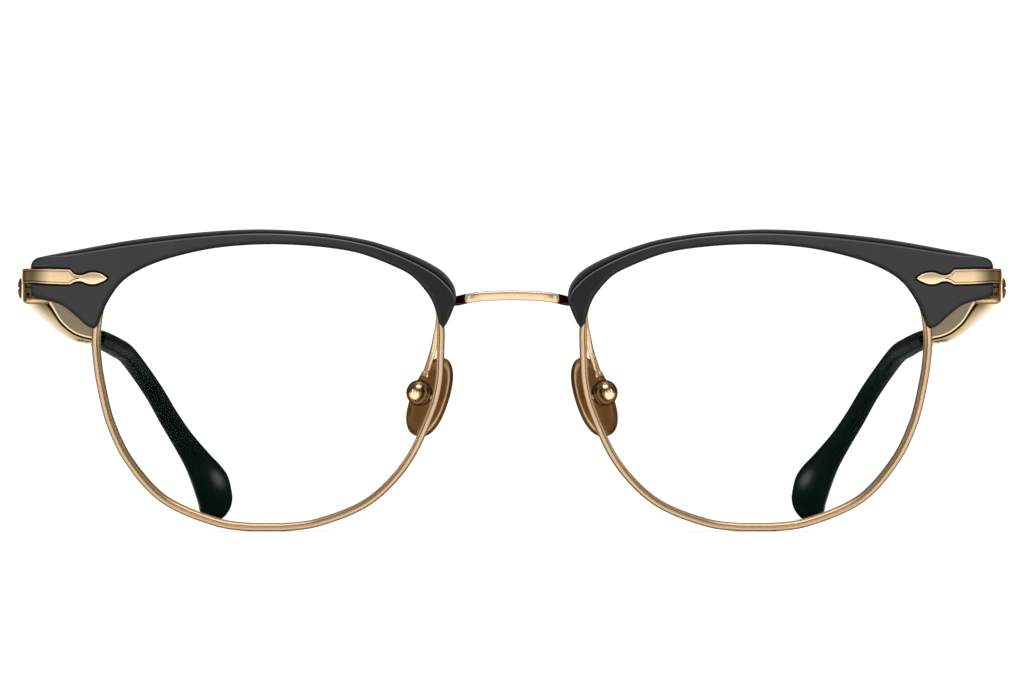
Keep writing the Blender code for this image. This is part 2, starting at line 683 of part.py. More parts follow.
def build_temples(gold, black):
    """Hinge leaves, hinge screws, temples and tips."""
    axis_place = Vector((HINGE_X, HINGE_Y, 0.0))
    bore = rod(axis_place, (0, 0, 1), HINGE_BORE, 30.0, 42.0, 16)
    slot = box((HINGE_X - 3, HINGE_Y - 4, KNUCKLE_LOW - KNUCKLE_GAP),
               (LEAF_INNER_X, HINGE_Y + 4, KNUCKLE_HIGH + KNUCKLE_GAP))
    front_leaf = knuckle((LEAF_OUTER_X, LEAF_Y[0]), (LEAF_OUTER_X, LEAF_Y[1]), HINGE_LOW, HINGE_HIGH)
    add_pair("hinge_leaf_front", front_leaf, gold, [("DIFFERENCE", slot), ("DIFFERENCE", bore)])
    head_at = Vector((HINGE_X, HINGE_Y, HINGE_HIGH + SEAT))
    shank = (HINGE_PIN, HINGE_HIGH - HINGE_LOW)
    add_pair("hinge_screw", screw_shape(head_at, (0, 0, 1), HINGE_HEAD, shank, 16), gold,
             [("DIFFERENCE", slot_cutter(head_at, (0, 0, 1), (1, 0, 0), HINGE_HEAD, HINGE_SLOT))])

    pivots = add_pivots("temple_pivot", axis_place)
    plate = box(*zip(TEMPLE_LEAF_X, TEMPLE_LEAF_Y, TEMPLE_LEAF_Z))
    add_pair("hinge_leaf_temple", knuckle(*TEMPLE_ARM, KNUCKLE_LOW, KNUCKLE_HIGH), gold,
             [("UNION", plate), ("DIFFERENCE", bore)], pivots, axis_place)
    add_pair("temple", temple_shape(), gold, (), pivots, axis_place)
    add_pair("temple_tip", tip_shape(), black, (), pivots, axis_place)


# ---------------------------------------------------------------- nose pads

def pad_point(up, side, back):
    """A point in the pad's own directions: up its length, across it, out of its back."""
    across = PAD_BACK.cross(PAD_UP)
    return PAD_CENTRE + PAD_UP * up + across * side + PAD_BACK * back


def pad_shape():
    """A dished oval pad with a raised rim round its back."""
    rings = []
    for share, back in PAD_LEVELS:
        ring = []
        for k in range(PAD_SEGMENTS):
            angle = 2 * math.pi * k / PAD_SEGMENTS
            belly = 1.0 - PAD_TAPER * math.cos(angle)
            ring.append(pad_point(PAD_HALF_LENGTH * share * math.cos(angle),
                                  PAD_HALF_WIDTH * share * belly * math.sin(angle), back))
        rings.append(ring)
    return loft(rings)


def pad_box_shape():
    """The ball that holds the pad: flat where it faces the pad."""
    start = math.asin((BOX_FOOT - BOX_CENTRE) / BOX_RADIUS)
    steps = 6
    profile = [(0, BOX_FOOT)]
    for step in range(steps):
        angle = start + (math.pi / 2 - start) * step / steps
        profile.append((BOX_RADIUS * math.cos(angle), BOX_CENTRE + BOX_RADIUS * math.sin(angle)))
    profile.append((0, BOX_CENTRE + BOX_RADIUS))
    return turned(profile, pad_point(0, PAD_SIDE, 0), PAD_BACK, 16)


def pad_stem_shape():
    """The flat stem on the pad's back, rounded where the pin goes through."""
    outline = []
    for degrees in range(0, 181, 30):
        angle = math.radians(degrees)
        outline.append((STEM_HEAD * math.cos(angle), PAD_PIVOT + STEM_HEAD * math.sin(angle)))
    outline += STEM_FOOT
    return loft([[pad_point(up, side, back) for up, back in outline]
                 for side in (PAD_SIDE - STEM_HALF_WIDTH, PAD_SIDE + STEM_HALF_WIDTH)])


def build_pads(gold, satin):
    """Pad arms, boxes and screws on the front; pads and stems on their pivots."""
    across = PAD_BACK.cross(PAD_UP)
    pivot = PAD_CENTRE + PAD_BACK * PAD_PIVOT
    middle = pivot + across * PAD_SIDE
    add_pair("pad_arm", loft(tube(catmull(ARM_PATH, 2, False), ARM_RADIUS, 8)), gold)
    slot = loft([[pad_point(up, PAD_SIDE + side, back)
                  for up, side in ((-3, -SLOT_HALF_WIDTH), (3, -SLOT_HALF_WIDTH),
                                   (3, SLOT_HALF_WIDTH), (-3, SLOT_HALF_WIDTH))]
                 for back in (SLOT_TOP, 0.5)])
    bore = rod(middle, across, PAD_BORE, -3.0, 3.0)
    sink = rod(middle, across * -1, *PAD_SINK, 3.0)
    add_pair("pad_box", pad_box_shape(), gold,
             [("DIFFERENCE", slot), ("DIFFERENCE", bore), ("DIFFERENCE", sink)])
    low, high = PAD_PIN_SPAN
    screw = turned([(0, low), (PAD_PIN, low), (PAD_PIN, high), (PAD_HEAD, high),
                    (PAD_HEAD - 0.12, high + 0.25), (0, high + 0.3)], middle, across * -1, 12)
    add_pair("pad_screw", screw, gold)

    pivots = add_pivots("pad_pivot", pivot)
    add_pair("nose_pad", pad_shape(), satin, (), pivots, pivot)
    add_pair("pad_stem", pad_stem_shape(), gold, [("DIFFERENCE", bore)], pivots, pivot)


for old in list(bpy.data.objects):
    bpy.data.objects.remove(old)

FRAME = bpy.data.objects.new("eyeglasses_origin", None)
bpy.context.collection.objects.link(FRAME)
FRAME.location = (0.0, -ORIGIN_Y * MM, 0.0)

GOLD = add_material("brushed_gold", (0.83, 0.60, 0.34), 0.3, 1.0)
SATIN_GOLD = add_material("satin_gold", (0.55, 0.37, 0.19), 0.42, 1.0)
MATTE_BLACK = add_material("matte_black_acetate", (0.035, 0.035, 0.037), 0.55, 0.0)
GLOSS_BLACK = add_material("gloss_black_acetate", (0.004, 0.008, 0.007), 0.12, 0.0)
CLEAR = add_material("clear_lens", (0.95, 0.97, 0.97), 0.02, 0.0)

build_rim(GOLD, CLEAR)
build_brow(GOLD, MATTE_BLACK)
build_temples(GOLD, GLOSS_BLACK)
build_pads(GOLD, SATIN_GOLD)
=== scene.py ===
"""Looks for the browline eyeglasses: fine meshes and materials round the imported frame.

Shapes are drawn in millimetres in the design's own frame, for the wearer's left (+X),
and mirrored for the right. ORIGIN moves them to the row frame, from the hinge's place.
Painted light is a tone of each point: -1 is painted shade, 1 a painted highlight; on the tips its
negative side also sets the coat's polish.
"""

import json
import math

import bmesh
import bpy
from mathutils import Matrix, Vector
from mathutils.geometry import delaunay_2d_cdt


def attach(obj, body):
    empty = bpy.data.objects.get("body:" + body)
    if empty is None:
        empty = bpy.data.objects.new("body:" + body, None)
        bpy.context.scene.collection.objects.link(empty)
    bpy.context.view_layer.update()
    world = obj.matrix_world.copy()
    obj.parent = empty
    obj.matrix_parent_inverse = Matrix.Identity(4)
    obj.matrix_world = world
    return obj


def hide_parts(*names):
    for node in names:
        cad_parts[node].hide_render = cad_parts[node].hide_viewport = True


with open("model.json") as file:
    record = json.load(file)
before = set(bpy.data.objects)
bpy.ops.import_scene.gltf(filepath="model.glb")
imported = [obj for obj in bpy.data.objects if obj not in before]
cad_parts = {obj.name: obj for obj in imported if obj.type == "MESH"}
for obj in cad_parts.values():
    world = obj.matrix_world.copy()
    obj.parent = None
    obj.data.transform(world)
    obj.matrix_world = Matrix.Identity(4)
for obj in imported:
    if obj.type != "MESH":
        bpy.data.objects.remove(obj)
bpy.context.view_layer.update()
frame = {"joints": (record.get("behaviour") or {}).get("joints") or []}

MM = 0.001
BEVEL_FROM = math.radians(35)       # edges sharper than this are bevelled
SIDES = (("left", 1.0), ("right", -1.0))
HINGE_X = 68.2
HINGE_Y = 11.6
LEFT_HINGE = next(j for j in frame["joints"] if j["name"] == "left_temple_fold")["pos_m"]
ORIGIN = Vector((0.0, LEFT_HINGE[1] / MM - HINGE_Y, 0.0))

# Front: the same driving sizes as the CAD design, in millimetres
LENS_X = 35.3
LENS_Z = 21.0
BASE_RADIUS = 150.0
FACE_FORM = math.radians(3.0)
FRONT_TILT = math.radians(3.0)
FIT_GAP = 0.3

RIM_HEIGHT = 1.08
RIM_DEPTH = 2.6
RIM_FACE = 0.7
RIM_SLOPE = 0.052                   # how far the rim's inner side climbs towards its back
RIM_SPLIT = 0.3
RIM_SPLIT_POINT = Vector((59.9, 33.1))
LENS_THICKNESS = 1.6
LENS_EDGE_INSET = 1.33
LENS_BEVEL = 0.3
LENS_SOFT = (0.08, 0.06)            # the faces' edges are softened by this much in and back
LENS_RINGS = (0.12, 0.24, 0.36, 0.48, 0.6, 0.72, 0.84, 0.94)
RIM_OUTLINE = [
    (60.75, 28.4), (60.65, 25.3), (60.05, 21.2), (58.6, 15.4), (55.7, 9.6), (50.6, 4.1),
    (43.0, 0.8), (37.3, 0.0), (33.3, 0.0), (27.6, 0.8), (20.4, 3.85), (14.9, 9.4), (11.4, 16.4),
    (10.05, 21.2), (9.75, 26.4), (9.75, 29.6), (10.15, 32.6), (11.35, 35.1), (13.8, 37.75),
    (17.15, 39.5), (21.3, 41.0), (25.5, 41.85), (31.7, 42.4), (37.7, 42.4), (43.95, 41.9),
    (50.2, 40.5), (54.5, 38.8), (57.4, 36.75), (59.35, 34.1), (60.3, 31.9),
]

BROW_PROUD = 1.3
BROW_LIP = 0.2
BROW_THICKNESS = 4.0
BROW_THIN_END = 2.6
BROW_TAPER_X = (9.5, 15.5)
LEDGE_SETBACK = 0.85
NO_LEDGE = 0.05                     # a hair's step, where there is no ledge
BROW_OUTLINE = [                    # x, z and the height of the ledge, where there is one
    (9.75, 29.45), (9.0, 30.8), (8.2, 32.9, 0.1), (8.1, 34.5, 0.5), (8.7, 36.0, 0.9),
    (10.3, 37.7, 1.05), (13.6, 39.5, 0.95), (17.6, 41.0, 0.75), (21.6, 42.1, 0.67),
    (27.7, 43.0, 0.6), (35.7, 43.5, 0.63), (43.8, 43.2, 0.7), (54.0, 42.2, 0.76),
    (63.8, 40.6, 0.55), (68.0, 39.85, 0.1), (69.3, 39.4), (69.82, 38.5), (69.85, 36.9),
    (69.8, 34.9), (69.0, 33.85), (67.3, 33.4), (65.1, 32.65), (63.1, 31.15), (61.6, 29.8),
    (60.5, 29.35), (59.85, 29.8), (59.15, 31.47), (58.24, 33.42), (56.45, 35.85), (53.9, 37.63),
    (49.84, 39.24), (43.77, 40.65), (37.7, 41.25), (31.7, 41.25), (25.6, 40.7), (21.6, 39.9),
    (17.6, 38.4), (14.5, 36.8), (12.2, 34.3), (11.1, 32.2), (10.6, 30.4), (10.2, 29.6),
]
CREASE_FADE = (18.0, 45.0)          # the crease's painted highlight fades from the first x to the second
NOSE_SHADE = (32.0, 12.0)           # painted shade darkens the face from the first x to the second
BROW_SOFT = 0.15
BROW_EDGE = 0.42                    # radius of the brow's front edges
BACK_EDGE = 0.45
LEDGE_EDGE = 0.22
EDGE_SHARE = 0.3                    # an edge's radius is at most this share of the width,
LEDGE_SHARE = 0.9                   # and the ledge's of its own height
CREASE_FROM = (0.1, 0.5)            # the crease's painted highlight grows as the ledge grows between these heights and peaks near the first angle round its turn, in degrees
CREASE_GLINT = (50, 25)             # and near the first angle round its turn, in degrees
BROW_TURN = 5                       # facets round each edge
BROW_ROOM = 4.0                     # the brow is narrow where it is less wide than this
BROW_GRID = 0.9                     # spacing of the points within the brow's faces
GRID_ROW = 0.87                     # a grid's rows are closer than its points by this share
GRID_MARGIN = 0.6                   # share of the spacing that is kept clear of the edge

STRIP_PROUD = 0.05
STRIP_THICKNESS = 0.8
GROOVE_FLOOR = 1.05
STRIP_GAP = 0.24
STRIP_LEAF = (63.2, 62.2)           # the strip becomes a crowned leaf, painted a little brighter, between these
STRIP_PAINTED_SHADE = (66.9, 69.1)        # painted shade darkens the strip between these
STRIP_STATIONS = [
    (58.4, 36.4, 36.62), (58.8, 36.12, 36.92), (59.4, 35.85, 37.24), (60.1, 35.64, 37.42),
    (60.8, 35.6, 37.46), (61.5, 35.76, 37.28), (62.1, 36.0, 37.08), (62.7, 36.07, 37.05),
    (63.25, 35.95, 37.22), (63.75, 35.72, 37.68), (64.2, 35.66, 37.88), (67.0, 35.75, 38.0),
    (69.3, 35.9, 38.05),
]
ENGRAVE_X = (62.5, 64.1)            # where the engraved V meets, and where its lines run straight
ENGRAVE_INSET = 0.33
ENGRAVE_WIDTH = 0.1
ENGRAVE_DEPTH = 0.1
STRIP_EDGE = 0.16                   # radius of the strip's edges
STRIP_COLUMNS = 60
STRIP_BACK = ((1, 0.5), (1, 1.0), (0, 1.0), (0, 0.5))
PLATE_X = 71.3
PLATE_THICKNESS = 0.5
PLATE_LOW = 33.35
PLATE_HIGH = 38.1
PLATE_BACK_Y = 12.2
BEND_RADIUS = 1.9
BEND_STEPS = 18
PLATE_FLARE = ((0.12, 0.0), (0.18, 0.25), (0.24, 0.6), (0.32, 0.87), (0.45, 1.0))
PLATE_END = ((-0.35, 1.0), (-0.1, 0.97), (0.0, 0.9))
SHELF_X = (67.8, 71.1)
SHELF_Y = (9.1, 12.2)
SHELF_Z = (33.2, 33.7)
END_SCREW_Y = 7.5
END_SCREW_Z = 35.3
END_BORE = 0.85
SHELF_EDGE = 0.24                   # radius of the shelf's outer edge
SHELF_LEVELS = (0.0, 0.03, 0.08, 0.14, 0.19, 0.21, SHELF_EDGE, SHELF_Z[1] - SHELF_Z[0])

HINGE_LOW = 33.95
HINGE_HIGH = 37.9
KNUCKLE_LOW = 35.1
KNUCKLE_HIGH = 36.75
KNUCKLE_GAP = 0.08
KNUCKLE_RADIUS = 1.3
HINGE_BORE = 0.66
LEAF_INNER_X = 69.6
LEAF_OUTER_X = 70.45
LEAF_Y = (9.3, 12.1)
TEMPLE_LEAF_X = (69.1, 69.27)
TEMPLE_LEAF_Y = (12.95, 17.0)
TEMPLE_LEAF_Z = (34.15, 37.6)
TEMPLE_ARM = ((69.4, 12.95), (69.4, 14.75))

TEMPLE_THICKNESS = 1.35
TEMPLE_STATIONS = [
    (12.45, 70.6, 33.2, 38.1, 3.3), (17.0, 70.0, 32.2, 37.5, 3.1),
    (22.0, 69.3, 31.2, 36.7, 2.5), (28.0, 68.5, 30.1, 35.8, 1.3),
    (35.0, 67.6, 29.1, 34.7, 1.0), (42.0, 66.8, 28.55, 33.6, 1.05),
    (48.0, 66.2, 28.4, 32.4, 1.1), (52.0, 65.85, 28.4, 31.5, 1.0),
    (54.5, 65.65, 28.38, 31.0, 0.9), (56.4, 65.5, 28.35, 30.7, 0.9),
]
TIP_PATH = [
    (65.45, 56.8, 29.55, 1.45, 1.35), (65.1, 62.0, 29.4, 1.5, 1.4), (64.75, 69.0, 29.15, 1.55, 1.45),
    (64.4, 78.0, 28.75, 1.6, 1.5), (63.85, 91.0, 27.95, 1.62, 1.52),
    (62.6, 103.0, 25.25, 1.62, 1.55), (60.8, 112.0, 21.6, 1.68, 1.55),
    (59.15, 120.0, 17.7, 1.78, 1.6), (57.3, 127.0, 14.0, 1.95, 1.7),
    (55.2, 133.0, 10.3, 2.45, 1.9), (53.3, 138.0, 6.6, 3.25, 2.1),
    (52.6, 141.0, 3.4, 3.15, 2.0),
]
TIP_END = (52.5, 142.6, -0.1)
PADDLE_HIGHLIGHT = Vector((50.9, 134.4, 6.8))  # a painted highlight on the paddle's inner face
PADDLE_HIGHLIGHT_ALONG = Vector((-0.29, 0.77, -0.57))
PADDLE_HIGHLIGHT_SIZE = (2.3, 0.95)
HAZE = Vector((-0.76, -0.57, -0.30))    # the tip is hazed where it faces this way
HAZE_FADE = (-0.2, -0.6)
TIP_SEGMENTS = 48
TIP_SQUARE = 2.15
TIP_MOUTH = (3, 0.93)               # the sleeve's mouth narrows to a share over a few rings
TIP_CAP = 12
CORE_RADIUS = 0.65
CORE_BORE = 0.95
CORE_END = 0.62
TURN_FROM = 0.38
PADDLE_TURN = math.radians(62)

PAD_CENTRE = Vector((11.9, 9.2, 19.5))
PAD_UP = Vector((-0.34, 0.0, 0.94)).normalized()
PAD_BACK = Vector((0.685, -0.685, 0.248)).normalized()
PAD_HALF_LENGTH = 6.05
PAD_HALF_WIDTH = 3.8
PAD_PIVOT = 1.7
PAD_SIDE = 0.6
PAD_TAPER = 0.08
PAD_SEGMENTS = 72
PAD_SQUARE = 2.25
PAD_LEVELS = (                      # share of the outline and height out of the back
    (0.12, -0.78), (0.3, -0.775), (0.5, -0.76), (0.68, -0.7), (0.82, -0.6), (0.92, -0.46),
    (0.98, -0.28), (1.0, -0.1), (1.0, 0.22), (0.985, 0.33), (0.955, 0.4), (0.925, 0.42),
    (0.9, 0.4), (0.875, 0.32), (0.85, 0.2), (0.8, 0.1), (0.65, 0.04), (0.4, 0.02), (0.15, 0.02),
)
BOX_FOOT = 1.05
BOX_CENTRE = 2.85
BOX_RADIUS = 1.9
BOX_STEPS = 40
BOX_SEGMENTS = 64
BOX_LINE = (-0.12, 0.05, 0.06)      # angle, half width and depth of the fine line
BOX_LINE_RING = 18
PAINTED_BALL_WINDOWS = (                    # where the ball's painted reflection shines, and the cosine of each patch's radius
    (Vector((0.40, -0.90, -0.14)), 0.90), (Vector((0.02, -0.86, 0.50)), 0.965),
)
SLOT_HALF_WIDTH = 0.68
SLOT_TOP = 2.75
STEM_HALF_WIDTH = 0.38
STEM_HEAD = 0.75
STEM_FOOT = ((-1.1, 0.4), (1.1, 0.4))
PAD_PIN = 0.35
PAD_PIN_SPAN = (-1.45, 1.3)
PAD_HEAD = 0.6
PAD_HEAD_HEIGHT = 0.3
PAD_SLOT = (0.16, 0.13)
PAD_BORE = 0.42
PAD_SINK = (0.72, 1.25)
ARM_RADIUS = 0.47
ARM_COLLAR = (0.75, 0.55, 0.2)      # it rises between these distances from the end, by this much
ARM_SEGMENTS = 24
ARM_PATH = [
    (10.4, 3.95, 31.4), (10.5, 5.2, 31.1), (10.8, 6.7, 29.4), (11.4, 7.5, 26.5),
    (12.1, 7.5, 24.2), (12.75, 7.15, 22.35),
]

BRIDGE_PATH = [
    (0.0, 0.2, 33.98), (2.6, 0.24, 33.92), (4.8, 0.36, 33.78), (6.4, 0.75, 33.55),
    (7.25, 1.8, 33.4), (7.9, 2.85, 33.3), (8.9, 3.2, 33.2), (10.0, 3.3, 33.1),
]
BRIDGE_HALF_HEIGHT = 0.7
BRIDGE_BEND = (6.15, 6.5)           # its ends turn back between these
BRIDGE_HALF_DEPTH = 0.55
BLOCK_X = (60.0, 62.2)
BLOCK_Y = (6.6, 8.8)
BLOCK_LOW_Z = (31.2, 33.0)
BLOCK_HIGH_Z = (33.3, 35.1)
RIM_SCREW_BORE = 0.62
TAB_CENTRE = (11.2, 37.2)
TAB_HALF = 0.95
TAB_THICKNESS = 0.6
TAB_BORE = 0.5
TAB_BORE_DEPTH = 1.5

SEAT = 0.05                         # gap under a screw's head
END_SCREW = ((1.55, 0.55), (0.6, 5.0), (0.35, 0.3))     # head, shank and slot of each screw
HINGE_SCREW = ((1.0, 0.45), (0.6, HINGE_HIGH - HINGE_LOW), (0.28, 0.22))
RIM_SCREW = ((0.95, 0.45), (0.55, 3.7), (0.28, 0.22))
BROW_SCREW = ((0.75, 0.35), (0.38, 1.9), (0.22, 0.18))


# ---------------------------------------------------------------- curves and meshes

def ramp(value, start, end):
    """How far a value has gone from start to end, held between 0 and 1."""
    return min(1.0, max(0.0, (value - start) / (end - start)))


def peak(value, centre, reach):
    """1 at the centre, falling straight to 0 at `reach` from it."""
    return max(0.0, 1 - abs(value - centre) / reach)


def catmull(points, steps, closed):
    """Points on the smooth curve through the given points, `steps` to a span."""
    count = len(points)
    curve = []
    for i in range(count if closed else count - 1):
        near = [(i + k) % count if closed else min(max(i + k, 0), count - 1) for k in (-1, 0, 1, 2)]
        a, b, c, d = (Vector(points[k]) for k in near)
        for j in range(steps):
            t = j / steps
            curve.append(0.5 * (2 * b + (c - a) * t + (2 * a - 5 * b + 4 * c - d) * t * t
                                + (3 * b - a - 3 * c + d) * t ** 3))
    if not closed:
        curve.append(Vector(points[-1]))
    return curve


def inward_normals(loop):
    """Unit normals of a closed (x, z) loop that point to its inside."""
    count = len(loop)
    area = sum(loop[i - 1][0] * loop[i][1] - loop[i][0] * loop[i - 1][1] for i in range(count))
    turn = 1.0 if area > 0 else -1.0
    normals = []
    for i in range(count):
        along = (loop[(i + 1) % count] - loop[i - 1]).normalized()
        normals.append(Vector((-along[1], along[0])) * turn)
    return normals


def inset(loop, distance):
    """A closed (x, z) loop moved inwards; distance is one number or one per point."""
    steps = per_point(distance, len(loop))
    return [Vector(p[:2]) + n * s for p, n, s in zip(loop, inward_normals(loop), steps)]


def room(loop, most):
    """Distance across the loop from each point along its inward normal, up to `most`."""
    count = len(loop)
    neighbours = 3
    ahead_share = 0.7
    smooth = 4
    widths = []
    for i, (point, normal) in enumerate(zip(loop, inward_normals(loop))):
        near = most
        for j in range(count):
            gap = loop[j] - point
            ahead = gap.dot(normal)
            apart = min((i - j) % count, (j - i) % count)
            if apart >= neighbours and gap.length < near and ahead > ahead_share * gap.length:
                near = gap.length
        widths.append(near)
    return [min(widths[(i + k) % count] for k in range(-smooth, smooth + 1)) for i in range(count)]


def front_y(x, z):
    """Depth of the front's curved, tilted surface at the rims' front edge."""
    across = x - LENS_X
    up = z - LENS_Z
    dome = (across ** 2 + up ** 2) / (2 * BASE_RADIUS)
    return dome + across * math.tan(FACE_FORM) - up * math.tan(FRONT_TILT)


def on_front(point, depth):
    """The place of an (x, z) point at a depth behind the front's surface."""
    return Vector((point[0], front_y(point[0], point[1]) + depth, point[1]))


def loft(rings):
    """A closed skin over rings of equal count, capped at both ends."""
    size = len(rings[0])
    verts = [Vector(point) for ring in rings for point in ring]
    faces = []
    for i in range(len(rings) - 1):
        a = i * size
        b = a + size
        for j in range(size):
            k = (j + 1) % size
            faces.append((a + j, a + k, b + k, b + j))
    faces.append(tuple(reversed(range(size))))
    faces.append(tuple(range(len(verts) - size, len(verts))))
    return verts, faces


def inside(point, loop):
    """True where an (x, z) point lies within a loop."""
    x, z = point
    odd = False
    for a, b in zip(loop, loop[1:] + loop[:1]):
        if (a[1] > z) != (b[1] > z) and x < (b[0] - a[0]) * (z - a[1]) / (b[1] - a[1]) + a[0]:
            odd = not odd
    return odd


def grid_within(loop, spacing, margin):
    """Points of a staggered grid that lie well inside a loop."""
    xs = [point[0] for point in loop]
    zs = [point[1] for point in loop]
    points = []
    row = 0
    z = min(zs) + spacing
    while z < max(zs):
        x = min(xs) + spacing * (0.5 if row % 2 else 1.0)
        while x < max(xs):
            spot = Vector((x, z))
            if inside(spot, loop) and min((spot - edge).length for edge in loop) > margin:
                points.append(spot)
            x += spacing
        z += spacing * GRID_ROW
        row += 1
    return points


def per_point(value, size):
    """A list with one value per point."""
    return value if isinstance(value, list) else [value] * size


def layered_plate(layers, spacing=None, shade=None):
    """A plate from (loop, depth, painted light) layers that follow the front's surface.

    A spacing puts a grid of points within its two faces, with shade(x) as their painted light."""
    size = len(layers[0][0])
    verts = []
    painted_light_and_polish = []
    for loop, depth, tone in layers:
        painted_light_and_polish += per_point(tone, size)
        verts += [on_front(point, shift) for point, shift in zip(loop, per_point(depth, size))]
    last = len(verts) - size
    faces = []
    for a in range(0, last, size):
        for j in range(size):
            k = (j + 1) % size
            faces.append((a + k, a + j, a + size + j, a + size + k))
    edges = [(i, (i + 1) % size) for i in range(size)]
    for base, (loop, depth, _) in ((0, layers[0]), (last, layers[-1])):
        extra = grid_within(loop, spacing, spacing * GRID_MARGIN) if spacing else []
        triangles = delaunay_2d_cdt([Vector(p[:2]) for p in loop] + extra, edges, [], 1, 1e-6)[2]
        first = len(verts)
        shifts = per_point(depth, size)
        for point in extra:
            near = min(range(size), key=lambda i: (loop[i] - point).length_squared)
            verts.append(on_front(point, shifts[near]))
            painted_light_and_polish.append(shade(point[0]))
        for triangle in triangles:
            faces.append(tuple(base + i if i < size else first + i - size for i in triangle))
    return verts, faces, painted_light_and_polish


def prism(outline, bottom, top):
    """An (x, y) outline raised between two heights."""
    return loft([[(x, y, z) for x, y in outline] for z in (bottom, top)])


def box(low, high):
    """A box between two corners."""
    outline = [(low[0], low[1]), (high[0], low[1]), (high[0], high[1]), (low[0], high[1])]
    return prism(outline, low[2], high[2])


def on_circle(radius, angle):
    """The two coordinates of a point on a circle."""
    return radius * math.cos(angle), radius * math.sin(angle)


def turned(profile, centre, axis, segments=48):
    """A solid turned about an axis from (radius, height) points; both ends on the axis."""
    turn = Vector((0, 0, 1)).rotation_difference(Vector(axis)).to_matrix()
    centre = Vector(centre)
    angles = [2 * math.pi * i / segments for i in range(segments)]
    rings = [[centre + turn @ Vector((*on_circle(radius, angle), height)) for angle in angles]
             for radius, height in profile[1:-1]]
    verts, faces = loft(rings)
    faces = faces[:-2]
    first = len(verts)
    verts += [centre + turn @ Vector((0, 0, profile[i][1])) for i in (0, -1)]
    base = first - segments
    for i in range(segments):
        k = (i + 1) % segments
        faces.append((first, k, i))
        faces.append((first + 1, base + i, base + k))
    return verts, faces


def soft_corner(before, here, after, size):
    """Points that round a corner off from `size` before it to `size` after it."""
    back = (before - here).normalized() * size
    ahead = (after - here).normalized() * size
    return [here + back * (1 - t) ** 2 + ahead * t ** 2 for t in (0.0, 0.25, 0.5, 0.75, 1.0)]


def rounded(profile):
    """A turned profile; a corner with a third number is rounded off by it."""
    points = []
    for i, corner in enumerate(profile):
        here = Vector(corner[:2])
        if len(corner) == 2:
            points.append(tuple(here))
        else:
            before, after = (Vector(profile[k][:2]) for k in (i - 1, i + 1))
            points += [tuple(point) for point in soft_corner(before, here, after, corner[2])]
    return points


def rod(centre, axis, radius, low, high):
    """A plain round rod, used as a drill."""
    return turned([(0, low), (radius, low), (radius, high), (0, high)], centre, axis, 40)


def directions(path):
    """The unit direction of a path at each of its points."""
    return [(b - a).normalized() for a, b in zip(path[:1] + path[:-1], path[1:] + path[-1:])]


def sweep(path, outline_at):
    """Sections swept along a path, across from +X; outline_at(i) gives (across, up) pairs."""
    rings = []
    side = Vector((1, 0, 0))
    for i, (point, along) in enumerate(zip(path, directions(path))):
        side = (side - along * side.dot(along)).normalized()
        up = side.cross(along)
        rings.append([point + side * a + up * b for a, b in outline_at(i)])
    return rings


def ellipse(half_a, half_b, count, power=2.0):
    """A closed (a, b) outline; a power above 2 squares it off."""
    points = []
    for k in range(count):
        angle = 2 * math.pi * k / count
        c, s = math.cos(angle), math.sin(angle)
        size = (abs(c) ** power + abs(s) ** power) ** (-1 / power)
        points.append((half_a * c * size, half_b * s * size))
    return points


def painted_light_loft(rings, painted_light_at):
    """A loft with painted_light_at(ring, index) as the painted light of each point."""
    verts, faces = loft(rings)
    return verts, faces, [painted_light_at(i, j) for i, ring in enumerate(rings) for j in range(len(ring))]


def add_object(name, data):
    """An object in the scene."""
    item = bpy.data.objects.new(name, data)
    bpy.context.scene.collection.objects.link(item)
    return item


def make_object(name, shape, mirror):
    """A mesh object in metres in the row frame, with any painted light as a point attribute."""
    verts, faces, *painted_light_and_polish = shape
    mesh = bpy.data.meshes.new(name)
    flip = Vector((mirror, 1.0, 1.0))
    mesh.from_pydata([(vert + ORIGIN) * flip * MM for vert in verts], [], faces)
    if painted_light_and_polish:
        mesh.attributes.new("painted_light_and_polish", "FLOAT", "POINT").data.foreach_set("value", painted_light_and_polish[0])
    skin = bmesh.new()
    skin.from_mesh(mesh)
    bmesh.ops.recalc_face_normals(skin, faces=skin.faces)
    skin.to_mesh(mesh)
    skin.free()
    return add_object(name, mesh)


def apply_modifiers(item):
    """Bakes an object's modifiers into its mesh."""
    graph = bpy.context.evaluated_depsgraph_get()
    mesh = bpy.data.meshes.new_from_object(item.evaluated_get(graph))
    item.modifiers.clear()
    item.data = mesh


def add_modifier(item, kind, **settings):
    """A modifier with its settings."""
    modifier = item.modifiers.new(kind.lower(), kind)
    for key, value in settings.items():
        setattr(modifier, key, value)


def fine_piece(name, shape, material, body="front", slot="polished_gold", joined=(), holes=(),
               bevel=0.0, angle=40.0, mirror=1.0):
    """One finished piece: cut, bevelled, shaded, riding on its body for its CAD node."""
    item = make_object(f"fine_{name}", shape, mirror)
    tools = [("UNION", make_object(f"tool_{name}", tool, mirror)) for tool in joined]
    tools += [("DIFFERENCE", make_object(f"tool_{name}", tool, mirror)) for tool in holes]
    for operation, tool in tools:
        add_modifier(item, "BOOLEAN", object=tool, operation=operation, solver="EXACT")
    if tools:
        apply_modifiers(item)
        for _, tool in tools:
            bpy.data.objects.remove(tool)
    if bevel:
        add_modifier(item, "BEVEL", width=bevel * MM, segments=2, limit_method="ANGLE",
                     angle_limit=BEVEL_FROM, use_clamp_overlap=True)
        apply_modifiers(item)
    item.data.materials.clear()
    item.data.materials.append(material)
    item.data.shade_smooth()
    item.data.set_sharp_from_angle(angle=math.radians(angle))
    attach(item, body)
    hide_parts(name)


def fine_pair(name, shape, material, body="front", **options):
    """The left piece and its mirrored twin."""
    for side, mirror in SIDES:
        fine_piece(f"{name}_{side}", shape, material, body.format(side=side), mirror=mirror,
                   **options)


# ---------------------------------------------------------------- materials

